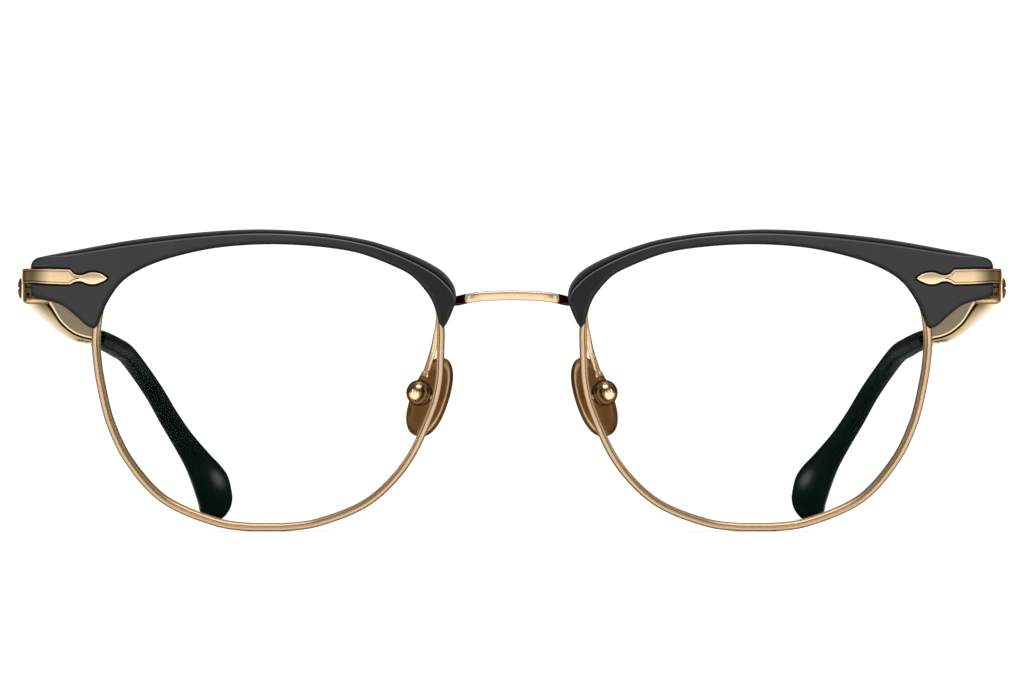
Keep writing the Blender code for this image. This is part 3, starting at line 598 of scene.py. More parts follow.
def new_material(name):
    """A material, its node tree and its Principled shader."""
    material = bpy.data.materials.new(name)
    material.use_nodes = True
    return material, material.node_tree, material.node_tree.nodes["Principled BSDF"]


def set_inputs(tree, node, **inputs):
    """Sets a node's inputs; a value that is another node's output is linked."""
    for key, value in inputs.items():
        socket = node.inputs[key.replace("_", " ")]
        if isinstance(value, bpy.types.NodeSocket):
            tree.links.new(value, socket)
        else:
            socket.default_value = value


def add_node(tree, kind, **inputs):
    """A shader node with its inputs set."""
    node = tree.nodes.new(kind)
    set_inputs(tree, node, **inputs)
    return node


def map_range(tree, value, start, end, low=0.0, high=1.0):
    """Maps a value from one range to another."""
    return add_node(tree, "ShaderNodeMapRange", Value=value, From_Min=start, From_Max=end,
                    To_Min=low, To_Max=high).outputs["Result"]


def noise(tree, scale, detail=4.0, stretch=(1.0, 1.0, 1.0), roughness=0.5):
    """Noise in object space; scale is in waves per metre, stretch squeezes it by axis."""
    place = add_node(tree, "ShaderNodeTexCoord")
    mapping = add_node(tree, "ShaderNodeMapping", Vector=place.outputs["Object"], Scale=stretch)
    return add_node(tree, "ShaderNodeTexNoise", Vector=mapping.outputs["Vector"], Scale=scale,
                    Detail=detail, Roughness=roughness).outputs["Fac"]


def spread(tree, factor, low, high):
    """Maps a noise factor, which keeps near its middle, to a range of values."""
    return map_range(tree, factor, 0.3, 0.7, low, high)


def mix_colours(tree, factor, first, second):
    """A blend of two colours by a factor; either colour may be another node's output."""
    node = tree.nodes.new("ShaderNodeMix")
    node.data_type = "RGBA"
    tree.links.new(factor, node.inputs[0])
    for socket, colour in ((node.inputs[6], first), (node.inputs[7], second)):
        if isinstance(colour, bpy.types.NodeSocket):
            tree.links.new(colour, socket)
        else:
            socket.default_value = (*colour, 1.0)
    return node.outputs[2]


def painted_light_and_polish_of(tree):
    """The mesh's painted light, and on the tips its polish, at the shaded point."""
    node = tree.nodes.new("ShaderNodeAttribute")
    node.attribute_name = "painted_light_and_polish"
    return node.outputs["Fac"]


def add_painted_light(tree, colour, dark, bright):
    """Paints shade into a colour where the mesh's tone is below 0, and a highlight where it is
    above.
    """
    painted_light_and_polish = painted_light_and_polish_of(tree)
    painted_shade = map_range(tree, painted_light_and_polish, 0.0, -1.0)
    edge = map_range(tree, painted_light_and_polish, 0.0, 1.0)
    return mix_colours(tree, edge, mix_colours(tree, painted_shade, colour, dark), bright)


def bump(tree, height, strength, distance):
    """A bump of a real height in metres."""
    return add_node(tree, "ShaderNodeBump", Height=height, Strength=strength,
                    Distance=distance).outputs["Normal"]


EDGE_TINT = (0.92, 0.78, 0.60)      # gold keeps some of its colour at a glancing angle
# painted highlights blend towards this gold, painted shade towards the dark gold scaled by this tint
PAINTED_HIGHLIGHT_GOLD = (0.98, 0.84, 0.60)
PAINTED_SHADE_TINT = (0.13, 0.10, 0.08)


def metal(name, light, dark, roughness, brushed=(1.0, 1.0, 1.0), grain=3000.0, grain_height=4e-6,
          strength=0.2):
    """Gold plate: warmer in patches, brushed or polished by its grain; the mesh's painted shade and
    painted highlights darken and brighten its colour and tint.
    """
    material, tree, shader = new_material(name)
    gold = mix_colours(tree, noise(tree, 260.0, 3.0), light, dark)
    painted_shade = tuple(tone * share for tone, share in zip(dark, PAINTED_SHADE_TINT))
    streaks = noise(tree, grain, 5.0, brushed, 0.6)
    set_inputs(tree, shader, Metallic=1.0, Roughness=spread(tree, streaks, *roughness),
               Base_Color=add_painted_light(tree, gold, painted_shade, PAINTED_HIGHLIGHT_GOLD),
               Normal=bump(tree, streaks, strength, grain_height),
               Specular_Tint=add_painted_light(tree, EDGE_TINT, painted_shade, PAINTED_HIGHLIGHT_GOLD))
    return material


def matte_acetate():
    """Matte black acetate: tumbled surface with a fine grain and faint handling marks, with the
    mesh's painted shade and painted highlights in its colour.
    """
    material, tree, shader = new_material("matte_black_acetate")
    black = mix_colours(tree, noise(tree, 180.0, 4.0), (0.030, 0.030, 0.0303),
                        (0.040, 0.040, 0.0404))
    set_inputs(tree, shader, IOR=1.08, Roughness=spread(tree, noise(tree, 420.0, 6.0), 0.5, 0.6),
               Base_Color=add_painted_light(tree, black, (0.001, 0.001, 0.001), (0.3, 0.3, 0.3)),
               Normal=bump(tree, noise(tree, 11000.0, 3.0), 0.6, 6e-6))
    return material


def gloss_acetate():
    """Acetate so dark a green that it reads as black, with a painted highlight in a patch.

    A tone of -1 is a full polish, as a coat, and 0 is the hazed side."""
    material, tree, shader = new_material("gloss_black_acetate")
    swirl = noise(tree, 90.0, 5.0, (1.0, 0.35, 1.0), 0.6)
    green = mix_colours(tree, swirl, (0.0006, 0.0007, 0.0006), (0.0006, 0.0024, 0.0017))
    set_inputs(tree, shader, IOR=1.02, Coat_Roughness=0.14,
               Base_Color=add_painted_light(tree, green, (0.0005, 0.0006, 0.0006), (0.65, 0.65, 0.64)),
               Roughness=spread(tree, noise(tree, 700.0, 5.0), 0.36, 0.46),
               Normal=bump(tree, noise(tree, 1500.0, 2.0), 0.15, 4e-6),
               Coat_Weight=map_range(tree, painted_light_and_polish_of(tree), 0.0, -1.0, 0.012, 0.8))
    return material


def clear_lens():
    """A clear coated lens: nearly all light passes, more is mirrored at a glancing angle."""
    material, tree, shader = new_material("clear_lens")
    glance = add_node(tree, "ShaderNodeLayerWeight", Blend=0.25).outputs["Facing"]
    set_inputs(tree, shader, Metallic=1.0, IOR=1.5,
               Base_Color=mix_colours(tree, noise(tree, 60.0, 3.0), (0.12, 0.95, 0.62),
                                      (0.2, 0.9, 0.75)),
               Alpha=map_range(tree, glance, 0.0, 1.0, 0.002, 0.05),
               Roughness=spread(tree, noise(tree, 900.0, 4.0), 0.01, 0.035))
    return material


POLISHED = metal("polished_gold", (0.90, 0.64, 0.36), (0.80, 0.54, 0.28), (0.12, 0.2))
# a dark copy of the gold, as painted shade, for the end screws and the front hinge leaves
SHADED_GOLD = metal("shaded_gold", (0.12, 0.07, 0.035), (0.06, 0.035, 0.018), (0.2, 0.3))
SCREW_GOLD = metal("screw_gold", (0.78, 0.54, 0.30), (0.66, 0.44, 0.23), (0.14, 0.24),
                   grain=4000.0, strength=0.3)
ARM_GOLD = metal("arm_gold", (0.88, 0.66, 0.41), (0.78, 0.56, 0.33), (0.12, 0.2))
BRIDGE_GOLD = metal("bridge_gold", (0.77, 0.59, 0.38), (0.71, 0.53, 0.33), (0.16, 0.24),
                    (0.15, 1.0, 1.0), 5000.0, strength=0.5)
RIM_GOLD = metal("rim_gold", (0.57, 0.37, 0.205), (0.50, 0.315, 0.17), (0.2, 0.3),
                 grain=6000.0, strength=0.5)
STRIP_GOLD = metal("strip_gold", (0.98, 0.75, 0.46), (0.88, 0.63, 0.36), (0.26, 0.4),
                   (0.10, 0.10, 1.0), 9000.0, strength=0.5)
PALE_GOLD = metal("pale_gold", (0.78, 0.70, 0.56), (0.72, 0.64, 0.51), (0.08, 0.14),
                  (1.0, 0.1, 1.0), 5000.0)
PAD_BALL = metal("pad_box_gold", (0.80, 0.52, 0.26), (0.70, 0.44, 0.20), (0.16, 0.24),
                 strength=0.15)
SATIN_GOLD = metal("satin_gold", (0.44, 0.205, 0.062), (0.28, 0.125, 0.038), (0.32, 0.46),
                   grain=14000.0, grain_height=6e-6, strength=0.5)
MATTE = matte_acetate()
GLOSS = gloss_acetate()
LENS = clear_lens()


# ---------------------------------------------------------------- front

def rim_loop(steps):
    """The rim's outer edge as a smooth closed loop that rests on the table."""
    return [Vector((x, max(z, 0.0))) for x, z in catmull(RIM_OUTLINE, steps, True)]


def rim_section():
    """(inwards, backwards, painted light) outline of the eyewire, from its outer front edge.

    A crowned front face with a painted highlight, a fine line, then a bevelled inner band down to
    the lens groove; the line, the groove and the outer edge are painted dark, as shade."""
    inner, back, face, middle = RIM_HEIGHT, RIM_DEPTH, RIM_FACE, RIM_DEPTH / 2
    groove = inner - 0.35
    return [
        (0.0, 0.22, -1.0), (0.0, back - 0.2, -0.3), (0.06, back - 0.06, 0.0), (0.2, back, 0.0),
        (inner - 0.2, back, 0.0), (inner - 0.06, back - 0.06, 0.0), (inner, back - 0.2, -0.2),
        (inner, middle + 0.64, -0.3), (inner - 0.05, middle + 0.55, -0.8),
        (groove, middle + 0.03, -1.0), (groove, middle - 0.03, -1.0),
        (inner - 0.05, middle - 0.55, -0.8), (inner, middle - 0.64, -0.3), (inner, 0.46, 0.0),
        (inner - 0.02, 0.38, -0.2), (inner - 0.06, 0.32, -0.25), (inner - 0.12, 0.28, -0.25),
        (face + 0.12, 0.2, -0.35), (face + 0.06, 0.21, -0.7), (face + 0.02, 0.18, -0.8),
        (face, 0.1, -0.6), (face - 0.04, 0.04, 0.1), (face - 0.12, 0.005, 0.5),
        (face - 0.24, -0.02, 0.3), (0.3, -0.02, 0.1), (0.2, 0.005, -0.2), (0.1, 0.05, -0.8),
        (0.02, 0.13, -1.0),
    ]


def rim_shape():
    """A grooved eyewire that runs right round, with a narrow split for its screw."""
    loop = rim_loop(14)
    start = min(range(len(loop)), key=lambda i: (loop[i] - RIM_SPLIT_POINT).length)
    loop = loop[start:] + loop[:start]
    section = rim_section()
    layers = [inset(loop, step) for step, _, _ in section]
    rings = []
    for i in range(len(loop)):
        rings.append([Vector((layer[i][0], front_y(*loop[i]) + depth,
                              layer[i][1] + RIM_SLOPE * depth * step / RIM_HEIGHT))
                      for layer, (step, depth, _) in zip(layers, section)])
    first = [point + Vector((0, 0, -RIM_SPLIT / 2)) for point in rings[0]]
    last = [point + Vector((0, 0, RIM_SPLIT / 2)) for point in rings[0]]
    return painted_light_loft([first] + rings[1:] + [last], lambda i, j: section[j][2])


def lens_shape():
    """A curved lens with a bevelled edge that sits in the rim's groove."""
    loop = [point + Vector((0, RIM_SLOPE * RIM_DEPTH / 2)) for point in rim_loop(8)]
    body = inset(loop, LENS_EDGE_INSET)
    bevel = inset(loop, LENS_EDGE_INSET - LENS_BEVEL)
    soft = inset(loop, LENS_EDGE_INSET + LENS_SOFT[0])
    centre = Vector((LENS_X, LENS_Z))
    front = (RIM_DEPTH - LENS_THICKNESS) / 2
    back = front + LENS_THICKNESS
    face = [[centre + (point - centre) * share for point in soft] for share in LENS_RINGS] + [soft]
    layers = [(ring, front, 0.0) for ring in face]
    layers += [(body, front + LENS_SOFT[1], 0.0), (bevel, (front + back) / 2, 0.0),
               (body, back - LENS_SOFT[1], 0.0)]
    layers += [(ring, back, 0.0) for ring in reversed(face)]
    return layered_plate(layers)


def brow_back(x):
    """The brow's back face behind the rims' front edge: thinner beside the bridge."""
    grown = (BROW_THICKNESS - BROW_THIN_END) * ramp(x, *BROW_TAPER_X)
    return BROW_THIN_END + grown - BROW_PROUD


def crease_painted_highlight(x):
    """How bright the crease's painted highlight along the brow's top is: it fades away from the
    bridge.
    """
    return 0.75 - 0.5 * ramp(x, *CREASE_FADE)


def nose_shade(x):
    """Painted shade darkens the brow's face towards its tip beside the nose."""
    return -0.55 * ramp(x, *NOSE_SHADE)


def drawn_in(radii, angle, start=0.0):
    """How far in each point of a rounded edge lies at an angle round its turn."""
    starts = per_point(start, len(radii))
    return [s + r * (1 - math.sin(angle)) for s, r in zip(starts, radii)]


def drop(radii, angle):
    """How far back each point of a rounded edge has turned at an angle."""
    return [r * (1 - math.cos(angle)) for r in radii]


def brow_shape():
    """The brow: a soft-edged front plate with a ledge set back along its top edge, painted dark
    round its edges, with a painted highlight along its crease.
    """
    outline = catmull([(*point, NO_LEDGE)[:3] for point in BROW_OUTLINE], 8, True)
    loop = [Vector(point[:2]) for point in outline]
    ledge = [max(point[2], NO_LEDGE) for point in outline]
    width = room(loop, BROW_ROOM)
    front_r = [min(BROW_EDGE, EDGE_SHARE * w) for w in width]
    back_r = [min(BACK_EDGE, EDGE_SHARE * w) for w in width]
    ledge_r = [min(LEDGE_EDGE, LEDGE_SHARE * l) for l in ledge]
    step = LEDGE_SETBACK - BROW_PROUD
    face = [nose_shade(x) for x, _ in loop]
    crease = [ramp(l, *CREASE_FROM) * crease_painted_highlight(x) for l, (x, _) in zip(ledge, loop)]
    turns = [math.pi / 2 * k / BROW_TURN for k in range(BROW_TURN + 1)]
    # a band in from the front edges, where their painted shade fades into the face
    soft = [l + r + min(BROW_SOFT, 0.1 * w) for l, r, w in zip(ledge, front_r, width)]
    layers = [(inset(loop, soft), -BROW_PROUD, face)]
    # round the front edges: a painted highlight on the crease, painted shade on the other edges
    for a in turns:
        glint = peak(math.degrees(a), *CREASE_GLINT)
        shade = 0.25 + 0.7 * math.sin(a) ** 2
        layers.append((inset(loop, drawn_in(front_r, a, ledge)),
                       [depth - BROW_PROUD for depth in drop(front_r, a)],
                       [c * glint + (1 - glint) * tone if c else -shade
                        for c, tone in zip(crease, face)]))
    # the ledge's inner corner, painted black as shade
    layers.append((inset(loop, ledge), step - 0.02, -1.0))
    # the ledge, painted a touch lighter where it has a crease and black where it has none
    for a in turns:
        layers.append((inset(loop, drawn_in(ledge_r, a)), [step + d for d in drop(ledge_r, a)],
                       [0.08 if c else -1.0 for c in crease]))
    # the back edges, painted dark as shade
    for a in reversed(turns):
        layers.append((inset(loop, drawn_in(back_r, a)),
                       [brow_back(x) - d for (x, _), d in zip(loop, drop(back_r, a))],
                       -0.6 * math.sin(a)))
    return layered_plate(layers, BROW_GRID, nose_shade)


def rim_seat_cutter():
    """Clears the brow behind its lip, where the rim and lens lie; its faces carry painted shade onto
    the cut.
    """
    loop = inset(rim_loop(10), -FIT_GAP)
    return layered_plate([(loop, -BROW_LIP, -1.0), (loop, 2 * BROW_THICKNESS, -1.0)])


def strip_line():
    """Fine stations (x, low z, high z) along the strip."""
    return catmull(STRIP_STATIONS, 14, False)


def strip_seat_cutter():
    """The slot in the brow's face that takes the strip, open at the outer end; its walls carry
    painted shade onto the cut.
    """
    rings = []
    for x, low, high in strip_line():
        bottom, top = low - STRIP_GAP, high + STRIP_GAP
        rings.append([on_front((x, z), depth - BROW_PROUD) for z, depth in (
            (bottom, -1.0), (top, -1.0), (top, GROOVE_FLOOR), (bottom, GROOVE_FLOOR))])
    tip = [point + Vector((-STRIP_GAP, 0, 0)) for point in rings[0]]
    out = [point + Vector((2.0, 0.7, 0)) for point in rings[-1]]
    return painted_light_loft([tip] + rings + [out], lambda i, j: -1.0)


def engraving(x, z, low, high):
    """Depth of the two engraved lines that follow the edges and meet in a V at the neck."""
    if x < ENGRAVE_X[0]:
        return 0.0
    half = ((high - low) / 2 - ENGRAVE_INSET) * ramp(x, *ENGRAVE_X)
    return ENGRAVE_DEPTH * peak(abs(z - (low + high) / 2), half, ENGRAVE_WIDTH)


def strip_ring(place, low, high, thickness, crown=0.0, x_mark=0.0, tone=0.0):
    """One closed section: a crowned, soft-edged face with engraved lines, and a flat back.

    place(z, depth) gives the point at a height and a depth behind the face. The second
    list is the painted light of each point."""
    ring = []
    painted_light_and_polish = []
    for k in range(STRIP_COLUMNS + 1):
        v = k / STRIP_COLUMNS
        z = low + (high - low) * v
        rim = min(z - low, high - z)
        short = max(0.0, STRIP_EDGE - rim)
        fall = STRIP_EDGE - math.sqrt(max(0.0, STRIP_EDGE ** 2 - short ** 2))
        cut = engraving(x_mark, z, low, high)
        ring.append(place(z, fall + crown * (2 * v - 1) ** 2 + cut))
        # a painted highlight just in from each edge, painted shade on the edge itself and on the
        # back; the engraved lines are darker
        glint = 0.35 * peak(rim, 1.4 * STRIP_EDGE, 0.6 * STRIP_EDGE)
        edge = peak(rim, 0.0, 0.9 * STRIP_EDGE)
        painted_light_and_polish.append(max(-1.0, tone + glint - edge - 0.9 * cut / ENGRAVE_DEPTH))
    ring += [place((low, high)[top], depth * thickness) for top, depth in STRIP_BACK]
    return ring, painted_light_and_polish + [-0.8] * len(STRIP_BACK)


def bend_painted_reflection(share):
    """The bend's painted reflection: dark, with one bright line down its outer edge."""
    return -0.95 if share < 0.66 else 1.0


def end_piece_shape():
    """Strip, bend and side plate as one bent ribbon of metal."""
    sections = []
    for x, low, high in strip_line():
        leaf = ramp(x, *STRIP_LEAF)
        # the leaf gets a little painted highlight, the outer end painted shade
        sections.append(strip_ring(
            lambda z, depth: on_front((x, z), depth - BROW_PROUD - STRIP_PROUD),
            low, high, STRIP_THICKNESS, 0.03 + 0.12 * leaf, x,
            0.1 * leaf - 0.9 * ramp(x, *STRIP_PAINTED_SHADE)))
    _, low, high = STRIP_STATIONS[-1]
    turn = Vector((PLATE_X - BEND_RADIUS, 0.0, 0.0))
    turn.y = front_y(turn.x, (low + high) / 2) - BROW_PROUD - STRIP_PROUD + BEND_RADIUS
    for step in range(1, BEND_STEPS + 1):
        share = step / BEND_STEPS
        angle = math.pi / 2 * share
        out = Vector((math.sin(angle), -math.cos(angle), 0))
        thickness = STRIP_THICKNESS + (PLATE_THICKNESS - STRIP_THICKNESS) * share
        sections.append(strip_ring(
            lambda z, depth: turn + out * (BEND_RADIUS - depth) + Vector((0, 0, z)),
            low, high, thickness, 0.02, PLATE_X, bend_painted_reflection(share)))
    stations = [(turn.y + run, share) for run, share in PLATE_FLARE]
    stations += [(PLATE_BACK_Y + run, share) for run, share in PLATE_END]
    for i, (y, share) in enumerate(stations):
        ring, painted_light_and_polish = strip_ring(lambda z, depth: Vector((PLATE_X - depth, y, z)),
                                low + (PLATE_LOW - low) * share,
                                high + (PLATE_HIGH - high) * share, PLATE_THICKNESS)
        # the flare is painted bright in front and dark behind, as highlight and shade
        if i < len(PLATE_FLARE):
            painted_light_and_polish = [1.0] * (STRIP_COLUMNS + 1) + [-1.0] * len(STRIP_BACK)
        sections.append((ring, painted_light_and_polish))
    return painted_light_loft([ring for ring, _ in sections], lambda i, j: sections[i][1][j])


def domed_screw(centre, axis, head, shank):
    """A screw with a domed head above its centre and a plain shank below."""
    head_radius, head_height = head
    radius, length = shank
    rim = 0.08
    profile = [(0, -length), (radius * 0.6, -length, 0.05), (radius, -length + 0.35, 0.1),
               (radius, 0.0), (head_radius - 0.06, 0.0, 0.03), (head_radius, rim)]
    steps = 10
    flatness = 0.7
    dome = []
    for k in range(1, steps):
        angle = math.pi / 2 * k / steps
        dome.append((head_radius * math.cos(angle) ** flatness,
                     rim + (head_height - rim) * math.sin(angle)))
    return turned(rounded(profile) + dome + [(0, head_height)], centre, axis)


def slot_cutter(centre, axis, along, head, slot):
    """The driver slot across a screw's head."""
    axis = Vector(axis)
    along = Vector(along) * 2 * head[0]
    width, depth = slot
    side = axis.cross(along).normalized() * width / 2
    corners = [-along - side, along - side, along + side, -along + side]
    floor = head[1] - depth
    return loft([[Vector(centre) + axis * height + corner for corner in corners]
                 for height in (floor, floor + 1.0)])


def fine_screws(name, centre, axis, along, screw, gold=SCREW_GOLD):
    """A pair of slotted screws, from the sizes of head, shank and slot."""
    head, shank, slot = screw
    fine_pair(name, domed_screw(centre, axis, head, shank), gold,
              holes=[slot_cutter(centre, axis, along, head, slot)])


def bridge_shape():
    """An arched, flattened bar from rim to rim."""
    half = catmull(BRIDGE_PATH, 8, False)
    path = [Vector((-p[0], p[1], p[2])) for p in reversed(half[1:])] + half
    outline = ellipse(BRIDGE_HALF_DEPTH, BRIDGE_HALF_HEIGHT, 48, 3.4)
    up = Vector((0, 0, 1))
    rings = []
    for point, along in zip(path, directions(path)):
        out = up.cross(along).normalized()
        rings.append([point + out * a + up * b for a, b in outline])
    return painted_light_loft(rings, lambda i, j: bridge_painted_shade(path[i].x, outline[j][1]))


def bridge_painted_shade(x, up):
    """Painted shade along the bridge's edges and where its ends turn in behind the brows."""
    edge = abs(up) / BRIDGE_HALF_HEIGHT
    line = 0.9 * ramp(edge, 0.75, 1.0) if up > 0 else 0.7 * ramp(edge, 0.8, 1.0)
    return -max(line, 0.95 * ramp(abs(x), *BRIDGE_BEND))


def build_rim():
    """Bridge, rims and lenses, and the split block that closes each rim."""
    fine_piece("bridge", bridge_shape(), BRIDGE_GOLD)
    fine_pair("rim", rim_shape(), RIM_GOLD, slot="brushed_gold", angle=30.0)
    fine_pair("lens", lens_shape(), LENS, slot="clear_lens", angle=30.0)
    top = Vector((sum(BLOCK_X) / 2, sum(BLOCK_Y) / 2, BLOCK_HIGH_Z[1]))
    bore = rod(top, (0, 0, 1), RIM_SCREW_BORE, -9.0, 2.0)
    for name, span in (("upper", BLOCK_HIGH_Z), ("lower", BLOCK_LOW_Z)):
        fine_pair(f"rim_block_{name}", box(*zip(BLOCK_X, BLOCK_Y, span)), POLISHED,
                  holes=[bore], bevel=0.12)
    fine_screws("rim_screw", top + Vector((0, 0, SEAT)), (0, 0, 1), (1, 0, 0), RIM_SCREW)


def build_brow():
    """Brows, the end pieces let into them, and their screws and tabs."""
    end_centre = Vector((PLATE_X, END_SCREW_Y, END_SCREW_Z))
    end_hole = rod(end_centre, (1, 0, 0), END_BORE, -7.0, 2.0)
    tab_at = on_front(TAB_CENTRE, brow_back(TAB_CENTRE[0]) + FIT_GAP)
    tab_hole = rod(tab_at, (0, 1, 0), TAB_BORE, -TAB_BORE_DEPTH, 3.0)
    fine_pair("brow", brow_shape(), MATTE, slot="matte_black_acetate", angle=35.0,
              holes=[rim_seat_cutter(), strip_seat_cutter(), end_hole, tab_hole])
    fine_pair("end_piece", end_piece_shape(), STRIP_GOLD, slot="brushed_gold", angle=35.0,
              joined=[shelf_shape()], holes=[end_hole])
    fine_screws("end_screw", end_centre + Vector((SEAT, 0, 0)), (1, 0, 0), (0, 1, 0), END_SCREW,
                SHADED_GOLD)
    tab = turned(rounded([(0, 0), (TAB_HALF, 0, 0.08), (TAB_HALF, TAB_THICKNESS, 0.12),
                          (0, TAB_THICKNESS)]), tab_at, (0, 1, 0))
    fine_pair("brow_tab", tab, POLISHED, holes=[tab_hole])
    fine_screws("brow_screw", tab_at + Vector((0, TAB_THICKNESS + SEAT, 0)), (0, 1, 0), (1, 0, 0),
                BROW_SCREW)


def shelf_shape():
    """The end piece's lower shelf, its outer edge rounded up into the plate; painted bright above
    and dark below, as highlight and shade.
    """
    rings = []
    for level in SHELF_LEVELS:
        sunk = max(0.0, SHELF_EDGE - level)
        edge = PLATE_X - 0.02 - SHELF_EDGE + math.sqrt(SHELF_EDGE ** 2 - sunk ** 2)
        start = SHELF_X[0] + max(0.0, 0.06 - level)
        corners = [(start, SHELF_Y[0]), (edge, SHELF_Y[0]), (edge, SHELF_Y[1]), (start, SHELF_Y[1])]
        rings.append([(x, y, SHELF_Z[0] + level) for x, y in corners])
    return painted_light_loft(rings, lambda i, j: 1.0 if SHELF_LEVELS[i] > 0.2 else -1.0)


# ---------------------------------------------------------------- hinges and temples

def side_angle(corner, turn):
    """Where, round the hinge's axis, the straight side from a corner meets the barrel."""
    x, y = corner[0] - HINGE_X, corner[1] - HINGE_Y
    return math.atan2(y, x) + turn * math.acos(KNUCKLE_RADIUS / math.hypot(x, y))


def knuckle(low, high, bottom, top):
    """A round barrel with straight sides running to two corners, raised between two heights."""
    first = side_angle(low, -1)
    last = side_angle(high, 1)
    steps = 40
    outline = []
    for i in range(steps + 1):
        angle = last + (2 * math.pi - (last - first)) * i / steps
        x, y = on_circle(KNUCKLE_RADIUS, angle)
        outline.append((HINGE_X + x, HINGE_Y + y))
    return prism(outline + [low, high], bottom, top)


# painted light of each corner of the temple's section: a bright ridge over a dark strip as painted
# reflection, painted shade elsewhere
BLADE_PAINTED_LIGHT = (0.0, -0.1, -0.25, -0.25, 0.0, 0.0, -0.1, 0.5, -0.95, -0.3)
BLADE_SHADE = {6: 0.45, 9: 0.6}     # corners whose painted shade deepens towards the hinge
BLADE_SHADE_REACH = 14.0


def blade_painted_light(y, corner):
    """How bright a corner of the temple's section is painted at a depth, as reflection and shade."""
    near = ramp(y, TEMPLE_STATIONS[0][0] + BLADE_SHADE_REACH, TEMPLE_STATIONS[0][0])
    return BLADE_PAINTED_LIGHT[corner] - near * BLADE_SHADE.get(corner, 0.0)


def blade_section(x, y, low, high, ridge):
    """The temple's bevelled section: flat outside, a ridge along the inside over a hollow."""
    half = TEMPLE_THICKNESS / 2
    bevel = min(0.45, (high - low) * 0.2)
    corners = [Vector(corner) for corner in (
        (x + half * 0.3, low), (x + half * 0.8, low + 0.1), (x + half, low + bevel),
        (x + half, high - bevel), (x + half * 0.6, high), (x - half * 0.5, high),
        (x - half * 0.85, high - bevel), (x - half, low + ridge),
        (x - half * 0.82, low + ridge * 0.72), (x - half * 0.5, low + ridge * 0.42))]
    ring = []
    for before, here, after in zip(corners[-1:] + corners, corners, corners[1:] + corners[:1]):
        cut = min(0.12, (before - here).length * 0.3, (after - here).length * 0.3)
        ring += [Vector((point[0], y, point[1])) for point in soft_corner(before, here, after, cut)]
    return ring


def tip_path():
    """The tip's middle line and, at each point, its half width and half thickness."""
    smooth = catmull(TIP_PATH, 12, False)
    return [Vector(p[:3]) for p in smooth], [(p[3], p[4]) for p in smooth]


def tip_axes(path):
    """Across and through directions of the tip's section at each point of its path."""
    axes = []
    for i, along in enumerate(directions(path)):
        up = (Vector((0, 0, 1)) - along * along.z).normalized()
        side = along.cross(up)
        turn = ramp(i / (len(path) - 1), TURN_FROM, 1) * PADDLE_TURN
        across = up * math.cos(turn) - side * math.sin(turn)
        axes.append((across, along.cross(across)))
    return axes


def temple_shape():
    """The metal temple: a tall bevelled blade that thins to a wire inside its tip."""
    stations = catmull(TEMPLE_STATIONS, 10, False)
    rings = [blade_section(x, y, low, high, ridge) for y, x, low, high, ridge in stations]
    path, _ = tip_path()
    count = len(rings[0])
    start = math.radians(-90 - 720 / count)         # straight down at the first corner's middle
    wire = [on_circle(CORE_RADIUS, start + 2 * math.pi * k / count) for k in range(count)]
    core = sweep(path[:int(len(path) * CORE_END)], lambda i: wire)
    corner_points = count // len(BLADE_PAINTED_LIGHT)
    return painted_light_loft(rings + core, lambda i, j: blade_painted_light(
        stations[min(i, len(stations) - 1)][0], j // corner_points))


def paddle_highlight(point):
    """How much painted highlight a point of the tip gets: most at the patch, which follows the tip.
    """
    gap = point - PADDLE_HIGHLIGHT
    along = gap.dot(PADDLE_HIGHLIGHT_ALONG)
    across = (gap - PADDLE_HIGHLIGHT_ALONG * along).length
    return math.exp(-(along / PADDLE_HIGHLIGHT_SIZE[0]) ** 2 - (across / PADDLE_HIGHLIGHT_SIZE[1]) ** 2)


def polish(facing):
    """The tip is polished outside and on top, and hazed where it touches the head."""
    return ramp(facing.dot(HAZE), *HAZE_FADE)


def tip_shape():
    """The acetate tip: a paddle-ended sleeve, bored for the temple's core."""
    path, sizes = tip_path()
    axes = tip_axes(path)
    mouth, narrow = TIP_MOUTH
    rings = []
    for i, (point, (width, thickness), (across, through)) in enumerate(zip(path, sizes, axes)):
        grow = 1.0
        if i <= mouth:
            grow = narrow + (1 - narrow) * math.sqrt(1 - (1 - i / mouth) ** 2)
        rings.append([point + across * (a * grow) + through * (b * grow)
                      for a, b in ellipse(width, thickness, TIP_SEGMENTS, TIP_SQUARE)])
    last = rings[-1]
    for k in range(1, TIP_CAP):
        share = math.sin(math.pi / 2 * k / TIP_CAP)
        middle = path[-1].lerp(Vector(TIP_END), share)
        scale = math.sqrt(1 - share ** 2)
        rings.append([middle + (point - path[-1]) * scale for point in last])
    circle = ellipse(CORE_BORE, CORE_BORE, TIP_SEGMENTS)
    bore = []
    for i in reversed(range(int(len(path) * CORE_END) + 1)):
        across, through = axes[i]
        bore.append([path[i] + across * a + through * b for a, b in circle])
    verts, faces = loft(bore + rings)
    middles = [sum(ring, Vector()) / TIP_SEGMENTS for ring in bore + rings]
    # painted highlight on the paddle, less the coat's polish
    painted_light_and_polish = [paddle_highlight(vert) - polish((vert - middles[i // TIP_SEGMENTS]).normalized())
            for i, vert in enumerate(verts)]
    return [Vector((v.x, v.y, max(v.z, 0.0))) for v in verts], faces, painted_light_and_polish


